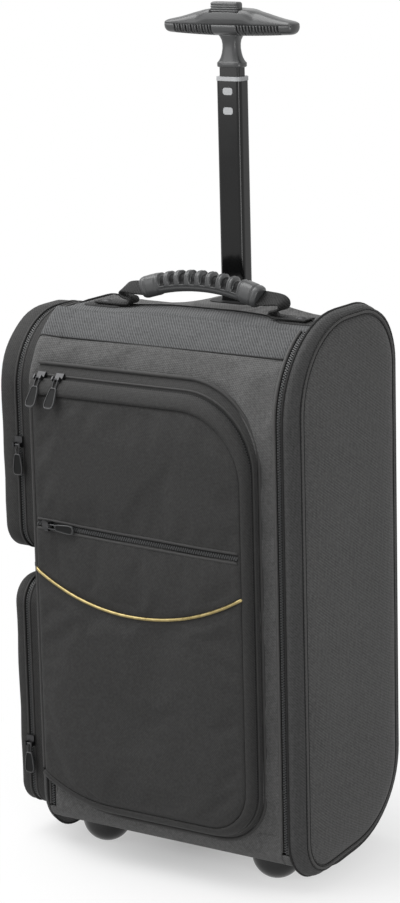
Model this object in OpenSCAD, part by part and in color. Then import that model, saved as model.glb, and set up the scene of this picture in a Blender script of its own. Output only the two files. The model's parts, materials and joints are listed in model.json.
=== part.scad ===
// Soft-sided rolling case: two padded sides with raised rims, a zipped front lid hinged at
// its foot, three zipped outside pockets, a carry handle, two wheels and a single pull pole
// with a T-shaped grip. Millimetres, +Z up, front towards -Y, standing on the floor at Z = 0.

/* [Case] */
// Width across the two padded sides
case_w = 309; // [290:1:330]
// Depth from front face to back face, without pockets
case_d = 195; // [188:1:210]
// Height of the side rims above the floor
rim_top = 558; // [540:1:600]
// Height of the lower edge of the side rims above the floor
rim_low = 10; // [8:1:13]
// Thickness of each padded side
rim_w = 12; // [11:0.5:16]
// Radius of the front arch at the top
front_arch = 97; // [92:1:100]
// Radius of the back arch at the top
back_arch = 65; // [55:1:70]
// Radius of the heel at the bottom of the back
heel_r = 90; // [84:1:94]
// Radius of the toe at the bottom of the front
toe_r = 38; // [34:1:42]
// Height of the flat top between the rims
top_z = 545; // [538:1:546]
// Height of the underside between the rims
floor_z = 27; // [24:1:30]
// Thickness of the padded walls
wall = 5; // [4:0.5:6]
// Setback of the front, back and arches behind the rims
step_in = 1.5; // [1:0.5:3]
// Thickness of the base board and the frame sheet
board_t = 4; // [3:0.5:5]
// Radius of the side piping
piping_r = 1.8; // [1.2:0.1:2.4]
// Distance of the side piping behind the front of the rim
piping_in = 18; // [16:1:22]
// Distance of the side piping from the rim's other edges
piping_edge = 7; // [6:0.5:10]

/* [Lid] */
// Width of each main zip tape
tape_w = 3.7; // [3:0.1:5]
// Thickness of a zip tape
tape_t = 2; // [1.5:0.5:3]
// Depth of a zip channel below the fabric
channel = 1; // [0.5:0.5:1.5]
// Gap between the meeting edges of a closed zip
seam_gap = 0.6; // [0.4:0.1:1]
// Radius of the front lower corner below the lid's hinge
lip_r = 17; // [15:1:19]

/* [Front pocket] */
// How far the pocket stands out from the lid
pocket_depth = 22; // [18:1:26]
// Right edge of the pocket's face from the middle of the case
face_right = 111; // [95:1:115]
// Height of the face's upper edge
face_top = 475; // [450:1:480]
// Height of the face's lower edge
face_low = 62; // [60:1:70]
// Outward slant of the gusset on the right
slant_side = 6; // [4:1:10]
// Upward slant of the gusset at the top
slant_top = 24; // [18:1:26]
// Downward slant of the gusset at the bottom
slant_low = 14; // [10:1:15]
// Radius of the face's upper right corner
face_r_top = 70; // [50:1:80]
// Radius of the face's lower right corner
face_r_low = 45; // [30:1:55]
// Length of the shallow curve at the lower left
sweep_run = 84; // [60:1:100]
// Rise of the shallow curve at the lower left
sweep_rise = 25; // [15:1:30]
// Wall of the pockets
pocket_wall = 4; // [3:0.5:4.5]
// Height of the slip pocket's zip
slip_z = 341; // [330:1:355]
// Length of the slip pocket's zip
slip_len = 232; // [180:1:236]
// Slope of the slip pocket's zip
slip_tilt = 1.7; // [0:0.1:3]
// Height of the lowest point of the gold piping
gold_low = 265; // [240:1:280]
// Radius of the gold piping's curve
gold_curve = 232; // [210:1:280]
// Half length of the gold piping along the face
gold_half = 121; // [100:1:121]
// Radius of the gold piping
gold_r = 1.7; // [1.2:0.1:2.2]

/* [Side pockets] */
// Front of the side pockets
side_front = -85; // [-86:0.5:-75]
// Back of the side pockets
side_back = 62; // [50:1:66]
// Height of the upper pocket's upper edge
upper_top = 540; // [525:1:541]
// Height of the upper pocket's lower edge
upper_low = 301; // [290:1:320]
// How far the upper pocket stands out
upper_out = 42; // [34:1:50]
// Distance of the upper pocket's zip from the side
upper_split = 16; // [12:1:20]
// Height of the lower pocket's upper edge
lower_top = 272; // [240:1:280]
// Height of the lower pocket's lower edge
lower_low = 33; // [31:1:45]
// How far the lower pocket stands out
lower_out = 34; // [28:1:42]
// Distance of the lower pocket's zip from the side
lower_split = 16; // [10:1:18]
// Roundness of the pockets' outer edges
pocket_round = 14; // [10:1:16]

/* [Pull pole] */
// Distance of the pole behind the middle of the case
pole_y = 52; // [50:1:54]
// Width of the lower tube
tube_w = 28; // [26:0.5:30]
// Depth of the lower tube
tube_d = 18; // [17:0.5:20]
// Corner radius of the lower tube
tube_r = 4.5; // [3.5:0.5:5]
// Wall of the tubes
tube_wall = 1.2; // [1:0.1:1.4]
// Sliding clearance round each tube
tube_fit = 0.3; // [0.2:0.05:0.4]
// Wall of the guide bush inside the lower tube
bush_wall = 1; // [0.8:0.1:1.2]
// Wall of the fixed housing tube
housing_wall = 1.6; // [1.2:0.1:2]
// Length of the lower tube
lower_len = 456; // [420:1:480]
// Length of the upper tube
upper_len = 428; // [380:1:440]
// Height of the ring at the top of the lower tube
ring_z = 768; // [740:1:790]
// Height of that ring itself
ring_h = 4; // [3:0.5:6]
// Length of the upper tube that shows above the ring
show_len = 9; // [6:1:14]
// Height of the neck under the grip
neck_h = 30; // [26:1:36]
// Width of the lugs in the tube's windows
lug_w = 11; // [9:0.5:13]
// Height of the lugs
lug_h = 7; // [6:0.5:8]
// Distance between the two lugs
lug_pitch = 19; // [16:1:22]

/* [T grip] */
// Length of the grip
grip_len = 150; // [130:1:170]
// Height of the grip at its middle
grip_h = 22; // [20:1:26]
// Depth of the grip at its middle
grip_d = 30; // [28:1:34]
// How much the grip thins towards each end, above and below
grip_taper = 5; // [3:0.5:6]
// How much the grip narrows towards each end, front and back
grip_narrow = 6; // [4:0.5:7]
// Number of finger slots on each side of the neck
slot_count = 12; // [8:1:14]
// Spacing of the finger slots
slot_pitch = 3.9; // [3.6:0.1:4.2]
// Width of the release button
button_w = 32; // [26:1:36]
// Depth of the release button
button_d = 11; // [9:0.5:12]
// Height of the release button above the grip
button_h = 11; // [9:0.5:13]
// Travel of the release button
button_travel = 5; // [3:0.5:6]

/* [Carry handle] */
// Distance of the handle from the middle of the case, towards the front
handle_y = -10; // [-14:1:-6]
// Length of the moulded grip along its chord
hand_len = 144; // [130:1:150]
// Rise of the grip's middle above its ends
hand_rise = 11; // [8:1:14]
// Height of the grip's section
hand_h = 22; // [20:1:24]
// Depth of the grip's section
hand_d = 20; // [18:1:22]
// Clear height under the grip's ends
hand_lift = 9; // [8:1:12]
// Number of finger grooves
groove_count = 8; // [6:1:10]
// Distance of the rivets from the middle
rivet_x = 113; // [108:1:120]

/* [Wheels and feet] */
// Radius of the wheels
wheel_r = 25; // [23:0.5:27]
// Width of the wheels
wheel_w = 22; // [18:1:24]
// Distance of each wheel from the middle
wheel_x = 112; // [100:1:116]
// Radius of the axles
axle_r = 3; // [2.5:0.25:4]
// Radius of the front feet
foot_r = 25; // [20:1:28]
// Distance of each foot from the middle
foot_x = 102; // [90:1:110]
// Distance of the feet in front of the middle
foot_y = -53; // [-56:1:-45]

/* [Zip pulls] */
// Length of a pull below its pin
pull_len = 31; // [26:1:34]
// Width of a pull
pull_w = 12; // [10:0.5:13]
// Thickness of a pull
pull_t = 2.4; // [2:0.2:3]
// Height of the upper pocket's slider
upper_slider_z = 415; // [400:1:430]
// Height of the lower pocket's slider
lower_slider_z = 104; // [100:1:115]
// Height of the main zip's slider
main_slider_z = 300; // [250:1:350]

/* [Hidden] */
$fn = 64;

twill = [0.16, 0.16, 0.165];
trim = [0.08, 0.08, 0.085];
moulded = [0.25, 0.26, 0.27];
enamel = [0.03, 0.03, 0.03];
pale = [0.75, 0.75, 0.74];
gold = [0.78, 0.6, 0.2];
board = [0.35, 0.32, 0.28];

// Clearance between soft solids that close on each other
soft_gap = 0.3;
// Thin slice used as one layer of a lofted pad
layer_t = 0.3;
// Rounding of a padded side, as depth below its face and distance in from its edge
pad_slab = 8;
pad_steps = [[4, 1.8], [1.2, 5.5], [0, 12]];
// Flat land of a padded side outside its piping
piping_land = 2.5;
// Rounding of a side pocket's cover, in the same way
cover_steps = [[pocket_round / 2, 2], [2.5, 6.5], [0, pocket_round]];
half_w = case_w / 2;
half_d = case_d / 2;
bay_x = half_w - rim_w;
face_y = -half_d + step_in;
lid_x = bay_x - 2 * tape_w - seam_gap;
hinge_r = wall / 2;
hinge_y = face_y + hinge_r;
hinge_z = floor_z + lip_r;
arch_y = -half_d + front_arch;
arch_z = rim_top - front_arch;
arch_in = front_arch - step_in;
// Where the front arch reaches the flat top
lid_end_y = arch_y - sqrt(pow(arch_in, 2) - pow(top_z - arch_z, 2));

// Zip slider and pull sizes shared by all zips
slider_w = 9;
slider_h = 11;
slider_t = 3;
pin_r = 1;
pin_fit = 0.05;
ear_h = 4.4;
ear_t = 1.6;
ear_x = 2.9;
pin_out = soft_gap + slider_t + ear_h / 2;
pin_drop = slider_h / 4;
main_pull_w = 10;
slip_t = 1;
slip_h = 8;
ear_w = 4;
barrel_r = 2;
barrel_gap = 0.3;
shank_gap = 0.8;
shank_len = 9;
// Length of a hole that goes right through a pull
through = 20;

// Front pocket planes, from the lid outwards
pocket_y = face_y - pocket_depth;
zip_band = 5.6;
split_y = face_y - pocket_depth / 2;
// The pocket's left side leaves room for the main zip's slider and pull
seam_x = lid_x + tape_w + seam_gap / 2;
pull_room = 1;
pocket_left = max(slider_w, main_pull_w) / 2 + pull_room - seam_x;
pocket_mid = (pocket_left + face_right) / 2;
slope = atan2(slant_top, pocket_depth);
pocket_slider_x = [pocket_left + 8, pocket_left + 30];
// Lean of a pull that hangs over the edge of the pocket's face, and its turn from the gusset
pocket_pull_tilt = 31;
pocket_pull_turn = pocket_pull_tilt + slope - 90;
pocket_pin = [split_y, face_top + slant_top / 2] + rotated([-pin_out, -pin_drop], -90 + slope);
gold_a = asin(gold_half / gold_curve);
slip_slider_in = 13.25;
slip_slider_x = pocket_mid - slip_len / 2 + slip_slider_in;

// Distances from the middle of the case to the outermost surfaces
reach_left = half_w + upper_out;
reach_right = half_w + piping_r;
pull_front = -pocket_pin[0] + pull_len * sin(pocket_pull_tilt) + pull_t / 2 * cos(pocket_pull_tilt);
slip_front = -pocket_y + slip_t + pin_out + ear_h / 2;
reach_front = max(pull_front, slip_front);
centre_x = (reach_left - reach_right) / 2;
centre_y = (reach_front - half_d) / 2;

// Pull pole sections, each nested in the next with its sliding clearance
housing_w = tube_w + 2 * (tube_fit + housing_wall);
housing_d = tube_d + 2 * (tube_fit + housing_wall);
collar_wall = 3;
collar_w = housing_w + 2 * collar_wall;
collar_d = housing_d + 2 * collar_wall;
collar_flange = 5;
collar_t = 3.5;
collar_len = 26;
sheet_back = pole_y - collar_d / 2;
// The pole's foot stands clear of the curve of the heel
heel_y = half_d - heel_r;
heel_z = rim_low + heel_r;
heel_in = heel_r - step_in - wall;
foot_z = heel_z - sqrt(pow(heel_in, 2) - pow(pole_y + collar_d / 2 - heel_y, 2)) + soft_gap;
foot_h = 34;
foot_floor = 2;
housing_z = foot_z + foot_floor;
housing_top = top_z - wall;
bush_gap = 0.05;
upper_w = tube_w - 2 * (tube_wall + bush_gap + bush_wall + tube_fit);
upper_d = tube_d - 2 * (tube_wall + bush_gap + bush_wall + tube_fit);
upper_r = tube_r - tube_wall - bush_wall;
bush_len = 48;
lug_out = tube_fit / 3;
lug_drop = 14;
lug_r = 2.5;
shoe_t = 6;
shoe_len = 18;
neck_z = ring_z + show_len;
bar_z = neck_z + neck_h;
bar_mid = bar_z + grip_h / 2;
bar_top = bar_z + grip_h;
socket_len = 4;
upper_top_z = neck_z + socket_len;
// The lower tube reaches far enough down to keep its shoe clear of the upper tube
tube_top_z = ring_z - ring_h;
shoe_gap = 3;
lower_run = max(lower_len, tube_top_z - upper_top_z + upper_len + shoe_len + shoe_gap);
// Waisted neck: half widths at its foot and at its waist, and the level of the waist
neck_in = [0.5, 1];
neck_foot = [tube_w / 2, tube_d / 2] - neck_in;
neck_waist = [8.5, 6.5];
neck_rim = 4;
waist_share = 0.7;
waist_z = neck_z + neck_h * waist_share;
spigot_len = 16;
rod_r = 2.2;
rod_fit = 0.3;
rod_low = 40;
button_back = 1.5;
button_y = pole_y - grip_d / 2 + button_d / 2 + button_back;
button_lap = 1;
button_low = bar_mid + button_lap;
button_fit = 0.3;
button_r = 2.5;
plate_w = 18;
plate_d = 12;
plate_t = 3;
plate_fit = 0.5;
spring_turns = 5;
spring_sides = 6;
spring_steps = 16;
spring_gap = 0.1;
spring_r = 3.6;
spring_wire = 0.45;
spring_fit = 0.75;
spring_low = bar_z + spring_gap;
spring_top = button_low - spring_gap;
grip_end_r = 6;
grip_edge_r = 7;
slot_w = 1.8;
slot_start = 14;
slot_deep = 4;
slot_step = 0.25;
slot_cover = 1.5;

// Carry handle arc
hand_r = (pow(hand_len / 2, 2) + pow(hand_rise, 2)) / (2 * hand_rise);
hand_end_z = top_z + hand_lift + hand_h / 2;
hand_c = hand_end_z + hand_rise - hand_r;
hand_a = asin(hand_len / 2 / hand_r);
groove_deep = 3;
groove_pitch = 2.9;
groove_w = 1.55;
groove_from = -3;
hand_corner = 7;
patch_w = 44;
patch_d = 26;
patch_r = 6;
patch_t = 1.6;
rivet_r = 6;
rivet_dome = 9.5;
rivet_h = 2;
// Webbing that folds back twice between the rivet and the grip
strap_w = 18;
strap_t = 2.4;
strap_z = top_z + patch_t + strap_t / 2;
strap_tail = rivet_x + 9;
fold_low_x = rivet_x - 21;
fold_low_r = 3.2;
fold_high_x = fold_low_x + 6;
fold_high_r = (hand_end_z - strap_z) / 2 - fold_low_r;
// Round neck of webbing that twists inside the end of the grip
twist_r = 3;
twist_in = 6;
twist_gap = 2.6;
twist_fit = 0.05;
// Stiffening strip under the top that takes the handle's rivets
stay_w = 30;
stay_t = 2;

// Wheel housings
axle_z = wheel_r;
wheel_gap = 1.2;
cheek = 3.8;
well_x = wheel_w / 2 + wheel_gap + cheek;
well_wall = 2.5;
arch_gap = 2.5;
well_y = sheet_back + soft_gap;
wheel_y = well_y + well_wall + arch_gap + wheel_r;
well_z = 2 * wheel_r + arch_gap + 2 * well_wall;
boss_r = 11;
axle_fit = 0.05;
hub_r = 15;
hub_rim = 2.5;
hub_boss = 3;
hub_recess = 4;
foot_flat = 0.5;
foot_ball_z = foot_r - foot_flat;

function rotated(p, a) = [p[0] * cos(a) - p[1] * sin(a), p[0] * sin(a) + p[1] * cos(a)];

// Corners of an outline seen from the side, in the order front top, back top, back low, front low
function corner_points(c, i, inset) =
    [for (a = [180 - 90 * i, 90 - 90 * i]) [c[0], c[1]] + (c[2] - inset) * [cos(a), sin(a)]];

rim_corners = [[arch_y, arch_z, front_arch],
    [half_d - back_arch, rim_top - back_arch, back_arch],
    [heel_y, heel_z, heel_r],
    [-half_d + toe_r, rim_low + toe_r, toe_r]];

// The piping keeps close to the edge of the top, back and bottom, and further in along the front
piping_low = rim_low + piping_edge;
piping_top = rim_top - piping_edge;
piping_front = -half_d + piping_in;
piping_arch = front_arch - (piping_in + piping_edge) / 2;
piping_toe = toe_r - (piping_in + piping_edge) / 2;
piping_corners = [[piping_front + piping_arch, piping_top - piping_arch, piping_arch],
    [half_d - back_arch, rim_top - back_arch, back_arch - piping_edge],
    [heel_y, heel_z, heel_r - piping_edge],
    [piping_front + piping_toe, piping_low + piping_toe, piping_toe]];

body_corners = [[arch_y, arch_z, arch_in],
    [half_d - back_arch, rim_top - back_arch, back_arch - step_in],
    [heel_y, heel_z, heel_r - step_in],
    [face_y + lip_r, floor_z + lip_r, lip_r]];

upper_r_front = (side_back - side_front) / 2;
upper_r_back = 55;
side_r_low = 28;
upper_corners = [[side_front + upper_r_front, upper_top - upper_r_front, upper_r_front],
    [side_back - upper_r_back, upper_top - upper_r_back, upper_r_back],
    [side_back - side_r_low, upper_low + side_r_low, side_r_low],
    [side_front + side_r_low, upper_low + side_r_low, side_r_low]];

lower_r_top = 28;
lower_r_heel = 60;
lower_r_toe = 24;
lower_corners = [[side_front + lower_r_top, lower_top - lower_r_top, lower_r_top],
    [side_back - lower_r_top, lower_top - lower_r_top, lower_r_top],
    [side_back - lower_r_heel, lower_low + lower_r_heel, lower_r_heel],
    [side_front + lower_r_toe, lower_low + lower_r_toe, lower_r_toe]];

// Moves the case so that its outer box is centred on the origin
module centred() translate([centre_x, centre_y, 0]) children();

// Extrudes a side outline (depth, height) from x0 to x1
module along_x(x0, x1) translate([x0, 0, 0]) rotate([90, 0, 90]) linear_extrude(x1 - x0) children();

// Extrudes a front outline (width, height) from y0 towards the front
module to_front(y0, depth) translate([0, y0, 0]) rotate([90, 0, 0]) linear_extrude(depth) children();

module both_sides() {
    children();
    mirror([1, 0, 0]) children();
}

module rounded_rect(w, d, r) {
    square([w - 2 * r, d], center = true);
    square([w, d - 2 * r], center = true);
    for (x = [-1, 1], y = [-1, 1]) translate([x * (w / 2 - r), y * (d / 2 - r)]) circle(r);
}

module outline(corners, inset = 0) {
    polygon([for (i = [0 : 3]) each corner_points(corners[i], i, inset)]);
    for (c = corners) translate([c[0], c[1]]) circle(c[2] - inset);
}

module body_outline(inset = 0) intersection() {
    outline(body_corners, inset);
    translate([-half_d, floor_z + inset]) square([case_d, top_z - floor_z - 2 * inset]);
}

// Solid between the rims, from x0 to x1, and its wall
module body_block(x0, x1, inset) intersection() {
    along_x(x0, x1) outline(body_corners, inset);
    translate([x0 - 1, -half_d, floor_z + inset]) cube([x1 - x0 + 2, case_d, top_z - floor_z - 2 * inset]);
}

module body_wall(x0, x1, outer, inner) difference() {
    body_block(x0, x1, outer);
    body_block(x0 - 1, x1 + 1, inner);
}

// Sweeps a section along an outline on the plane z = 0: section x points outwards, y upwards
module outline_sweep(corners, inset) {
    for (i = [0 : 3]) {
        c = corners[i];
        p = corner_points(c, i, inset)[1];
        n = corner_points(corners[(i + 1) % 4], (i + 1) % 4, inset)[0];
        run = n - p;
        translate([c[0], c[1], 0]) rotate(90 - 90 * i) rotate_extrude(angle = 90)
            translate([c[2] - inset, 0]) children();
        translate([p[0], p[1], 0]) rotate([90, 0, atan2(run[1], run[0]) + 90])
            linear_extrude(norm(run)) children();
    }
}

module half_round(r) intersection() {
    circle(r);
    translate([-r, 0]) square([2 * r, r]);
}

module side_panel() hull() {
    along_x(bay_x, half_w - pad_slab) outline(rim_corners, $fn = 32);
    for (e = pad_steps)
        along_x(half_w - e[0] - layer_t, half_w - e[0]) outline(rim_corners, e[1], $fn = 32);
    along_x(half_w - layer_t, half_w) outline(piping_corners, -piping_land, $fn = 32);
}

module side_panel_right() color(twill) centred() side_panel();

module side_panel_left() color(twill) centred() mirror([1, 0, 0]) side_panel();

module side_piping() translate([half_w, 0, 0]) rotate([90, 0, 90])
    outline_sweep(piping_corners, 0) half_round(piping_r);

module side_piping_right() color(trim) centred() side_piping();

// The left piping ends where the side pockets stand
module side_piping_left() color(trim) centred() difference() {
    mirror([1, 0, 0]) side_piping();
    along_x(-case_w, 0) {
        translate([-half_d, lower_low]) square([half_d, rim_top]);
        translate([-half_d, upper_low]) square([half_d + side_back - upper_r_back / 2, rim_top]);
    }
}

// Everything in front of the lid's seam and above its hinge
module lid_region(gap) translate([-case_w, -half_d - 1, hinge_z])
    cube([2 * case_w, lid_end_y + half_d + 1 - gap, rim_top]);

module lid_knuckle(x, r) along_x(-x, x) translate([hinge_y, hinge_z]) circle(r);

module body_shell() color(twill) centred() {
    difference() {
        body_wall(-bay_x, bay_x, 0, wall);
        lid_region(0);
        lid_knuckle(case_w, hinge_r + soft_gap);
        along_x(-case_w, case_w) translate([-half_d, hinge_z - hinge_r - soft_gap])
            square([hinge_y + half_d, hinge_r + soft_gap]);
        translate([0, pole_y, top_z - wall - 1]) linear_extrude(wall + 2) collar_sleeve(soft_gap);
        both_sides() along_x(wheel_x - well_x - soft_gap, wheel_x + well_x + soft_gap)
            translate([well_y - soft_gap, 0]) square([half_d, well_z + soft_gap]);
    }
    translate([-bay_x, handle_y - stay_w / 2, top_z - wall - stay_t]) cube([2 * bay_x, stay_w, stay_t + 1]);
}

module base_board() color(board) centred() translate([-bay_x, face_y + lip_r, floor_z + wall])
    cube([2 * bay_x, sheet_back - board_t - face_y - lip_r, board_t]);

module frame_sheet() color(board) centred() translate([-bay_x, sheet_back - board_t, floor_z + wall])
    cube([2 * bay_x, board_t, top_z - floor_z - 2 * wall]);

module collar_sleeve(grow = 0) rounded_rect(collar_w + 2 * grow, collar_d + 2 * grow, tube_r + collar_wall);

module tube_hole(grow) rounded_rect(tube_w + 2 * grow, tube_d + 2 * grow, tube_r + grow);

module pole_housing() color(pale) centred() translate([0, pole_y, housing_z])
    linear_extrude(housing_top - housing_z) difference() {
        tube_hole(tube_fit + housing_wall);
        tube_hole(tube_fit);
    }

module pole_foot() color(trim) centred() translate([0, pole_y, foot_z]) difference() {
    linear_extrude(foot_h) collar_sleeve();
    translate([0, 0, foot_floor]) linear_extrude(foot_h) tube_hole(tube_fit + housing_wall);
}

module pole_collar() color(trim) centred() translate([0, pole_y, top_z]) difference() {
    union() {
        linear_extrude(collar_t) rounded_rect(collar_w + 2 * collar_flange,
            collar_d + 2 * collar_flange, tube_r + collar_flange);
        translate([0, 0, -collar_len]) linear_extrude(collar_len) collar_sleeve();
    }
    translate([0, 0, -collar_len - 1]) linear_extrude(collar_len - wall + 1)
        tube_hole(tube_fit + housing_wall);
    translate([0, 0, -collar_len]) linear_extrude(collar_len + collar_t + 1) tube_hole(tube_fit);
}

module handle_patches() color(trim) centred() both_sides() translate([rivet_x, handle_y, top_z])
    linear_extrude(patch_t) rounded_rect(patch_w, patch_d, patch_r);

// Domed rivet heads on the ends of the webbing
module handle_rivets() color(pale) centred() both_sides()
    translate([rivet_x, handle_y, strap_z + strap_t / 2]) rotate_extrude() intersection() {
        translate([0, rivet_h - rivet_dome]) circle(rivet_dome);
        square([rivet_r, rivet_h]);
    }

module wheel_housings() color(trim) centred() both_sides() difference() {
    along_x(wheel_x - well_x, wheel_x + well_x) {
        intersection() {
            body_outline();
            translate([well_y, 0]) square([half_d, well_z]);
        }
        translate([wheel_y, axle_z]) circle(boss_r);
        translate([wheel_y - boss_r, axle_z]) square([2 * boss_r, wheel_r]);
    }
    along_x(wheel_x - wheel_w / 2 - wheel_gap, wheel_x + wheel_w / 2 + wheel_gap) {
        translate([wheel_y, axle_z]) circle(wheel_r + arch_gap);
        translate([wheel_y, axle_z - boss_r - 1]) square([half_d, wheel_r + boss_r]);
    }
    along_x(wheel_x - well_x - 1, wheel_x + well_x + 1) translate([wheel_y, axle_z]) circle(axle_r);
}

module wheel_axles() color(pale) centred() both_sides()
    along_x(wheel_x - well_x, wheel_x + well_x) translate([wheel_y, axle_z]) circle(axle_r);

module front_feet() color(trim) centred() both_sides() translate([foot_x, foot_y, 0]) {
    intersection() {
        translate([0, 0, foot_ball_z]) sphere(foot_r);
        cylinder(r = foot_r + 1, h = foot_ball_z);
    }
    translate([0, 0, foot_ball_z]) cylinder(r = foot_r, h = floor_z - foot_ball_z);
}

// Zip tape lying in the channel round the lid
module main_tape(x0, gap) both_sides() intersection() {
    body_wall(x0, x0 + tape_w, channel, channel + tape_t);
    lid_region(gap);
}

module main_zip_case() color(trim) centred() main_tape(bay_x - tape_w, 0);

module main_zip_lid() color(trim) centred() main_tape(lid_x, seam_gap);

module lid_panel() color(twill) centred() {
    intersection() {
        body_wall(-lid_x, lid_x, 0, wall);
        lid_region(seam_gap);
    }
    lid_knuckle(lid_x, hinge_r);
}

// Outline of the front pocket: out is 0 at the face and 1 at the foot of the gusset
module pocket_outline(out, inset = 0) {
    left = pocket_left + inset;
    right = face_right + slant_side * out - inset;
    top = face_top + slant_top * out - inset;
    low = face_low - slant_low * out + inset;
    r_top = face_r_top + slant_side * out - inset;
    r_low = face_r_low + slant_side * out - inset;
    run = sweep_run - inset;
    sweep_r = (pow(run, 2) + pow(sweep_rise, 2)) / (2 * sweep_rise);
    polygon([[left, low + sweep_rise], [left, top], [right - r_top, top], [right, top - r_top],
        [right, low + r_low], [right - r_low, low], [left + run, low]]);
    translate([right - r_top, top - r_top]) circle(r_top);
    translate([right - r_low, low + r_low]) circle(r_low);
    intersection() {
        translate([left, low]) square([run, sweep_rise]);
        translate([left + run, low + sweep_r]) circle(sweep_r, $fn = 180);
    }
}

// Pocket block from the lid to the face, with its slanting gusset
module pocket_block(inset) {
    hull() {
        to_front(face_y + layer_t, layer_t) pocket_outline(1, inset, $fn = 32);
        to_front(pocket_y + layer_t + inset, layer_t) pocket_outline(0, inset, $fn = 32);
    }
    to_front(arch_y - arch_in / 2, arch_y - arch_in / 2 - face_y) pocket_outline(1, inset);
}

module pocket_slab(y0, y1) translate([-half_w, y1, 0]) cube([case_w, y0 - y1, rim_top]);

module pocket_ring(inset, y0, y1) intersection() {
    difference() {
        pocket_block(inset);
        pocket_block(pocket_wall);
    }
    pocket_slab(y0, y1);
}

module pocket_gusset() color(twill) centred() difference() {
    pocket_ring(0, 0, split_y + zip_band / 2);
    along_x(-half_w, half_w) body_outline();
}

module pocket_zip() color(trim) centred()
    pocket_ring(channel, split_y + zip_band / 2, split_y + seam_gap / 2);

module pocket_face() color(twill) centred() intersection() {
    difference() {
        pocket_block(0);
        pocket_block(pocket_wall);
    }
    pocket_slab(split_y - seam_gap / 2, pocket_y);
}

module slip_pocket_zip() color(trim) centred()
    translate([pocket_mid, pocket_y, slip_z]) rotate([0, slip_tilt, 0])
        translate([-slip_len / 2, -slip_t, -slip_h / 2]) cube([slip_len, slip_t, slip_h]);

module gold_piping() color(gold) centred()
    translate([pocket_mid, pocket_y, gold_low + gold_curve]) rotate([90, 0, 0])
        rotate(270 - gold_a) rotate_extrude(angle = 2 * gold_a, $fn = 180)
            translate([gold_curve, 0]) half_round(gold_r);

// Padded outer part of a side pocket, lofted outwards from a plane beside the zip
module side_pad(corners, from, out, inset) {
    face_x = -half_w - out + inset;
    hull() {
        along_x(face_x + pocket_round, -half_w - from) outline(corners, inset, $fn = 32);
        for (e = cover_steps)
            along_x(face_x + e[0], face_x + e[0] + layer_t) outline(corners, inset + e[1], $fn = 32);
    }
}

module side_cover(corners, split, out) difference() {
    side_pad(corners, split + seam_gap / 2, out, 0);
    side_pad(corners, split - 1, out, pocket_wall);
}

module side_ring(corners, from, to, inset) translate([-half_w - to, 0, 0]) rotate([90, 0, 90])
    outline_sweep(corners, pocket_wall) square([pocket_wall - inset, to - from]);

module upper_pocket_base() color(twill) centred()
    side_ring(upper_corners, 0, upper_split - zip_band / 2, 0);

module upper_pocket_zip() color(trim) centred()
    side_ring(upper_corners, upper_split - zip_band / 2, upper_split - seam_gap / 2, channel);

module upper_pocket_cover() color(twill) centred() side_cover(upper_corners, upper_split, upper_out);

module lower_pocket_base() color(twill) centred()
    side_ring(lower_corners, 0, lower_split - zip_band / 2, 0);

module lower_pocket_zip() color(trim) centred()
    side_ring(lower_corners, lower_split - zip_band / 2, lower_split - seam_gap / 2, channel);

module lower_pocket_cover() color(twill) centred() side_cover(lower_corners, lower_split, lower_out);

// Window or lug in the front wall of the lower tube, as a slot with round ends
module lug_slots(depth, grow) for (i = [0, 1])
    translate([0, -tube_d / 2 + tube_wall, ring_z - lug_drop - i * lug_pitch]) rotate([90, 0, 0])
        linear_extrude(depth) rounded_rect(lug_w + 2 * grow, lug_h + 2 * grow, lug_r + grow);

module lower_tube() color(enamel) centred() translate([0, pole_y, 0]) difference() {
    translate([0, 0, tube_top_z - lower_run]) linear_extrude(lower_run) difference() {
        tube_hole(0);
        tube_hole(-tube_wall);
    }
    lug_slots(tube_wall + 1, bush_gap);
}

module tube_bush() color(pale) centred() translate([0, pole_y, 0]) {
    translate([0, 0, tube_top_z]) linear_extrude(ring_h) difference() {
        tube_hole(tube_wall / 2);
        rounded_rect(upper_w + 2 * tube_fit, upper_d + 2 * tube_fit, upper_r + tube_fit);
    }
    translate([0, 0, tube_top_z - bush_len]) linear_extrude(bush_len) difference() {
        tube_hole(-tube_wall - bush_gap);
        rounded_rect(upper_w + 2 * tube_fit, upper_d + 2 * tube_fit, upper_r + tube_fit);
    }
    translate([0, bush_gap, 0]) lug_slots(tube_wall + bush_gap + lug_out, 0);
}

module tube_shoe() color(trim) centred() translate([0, pole_y, tube_top_z - lower_run]) {
    translate([0, 0, -shoe_t]) linear_extrude(shoe_t) tube_hole(tube_fit / 2);
    linear_extrude(shoe_len) tube_hole(-tube_wall - bush_gap);
}

module upper_tube() color(enamel) centred() translate([0, pole_y, upper_top_z - upper_len])
    linear_extrude(upper_len) difference() {
        rounded_rect(upper_w, upper_d, upper_r);
        rounded_rect(upper_w - 2 * tube_wall, upper_d - 2 * tube_wall, upper_r - tube_wall);
    }

// Profile of the neck, drawn in to its waist by an arc on each side
module neck_profile(foot, waist) {
    rise = waist_z - neck_z - neck_rim;
    arc_r = (pow(foot - waist, 2) + pow(rise, 2)) / (2 * (foot - waist));
    difference() {
        translate([-foot, neck_z]) square([2 * foot, neck_h]);
        for (s = [-1, 1]) translate([s * (waist + arc_r), waist_z]) circle(arc_r, $fn = 180);
    }
}

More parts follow.
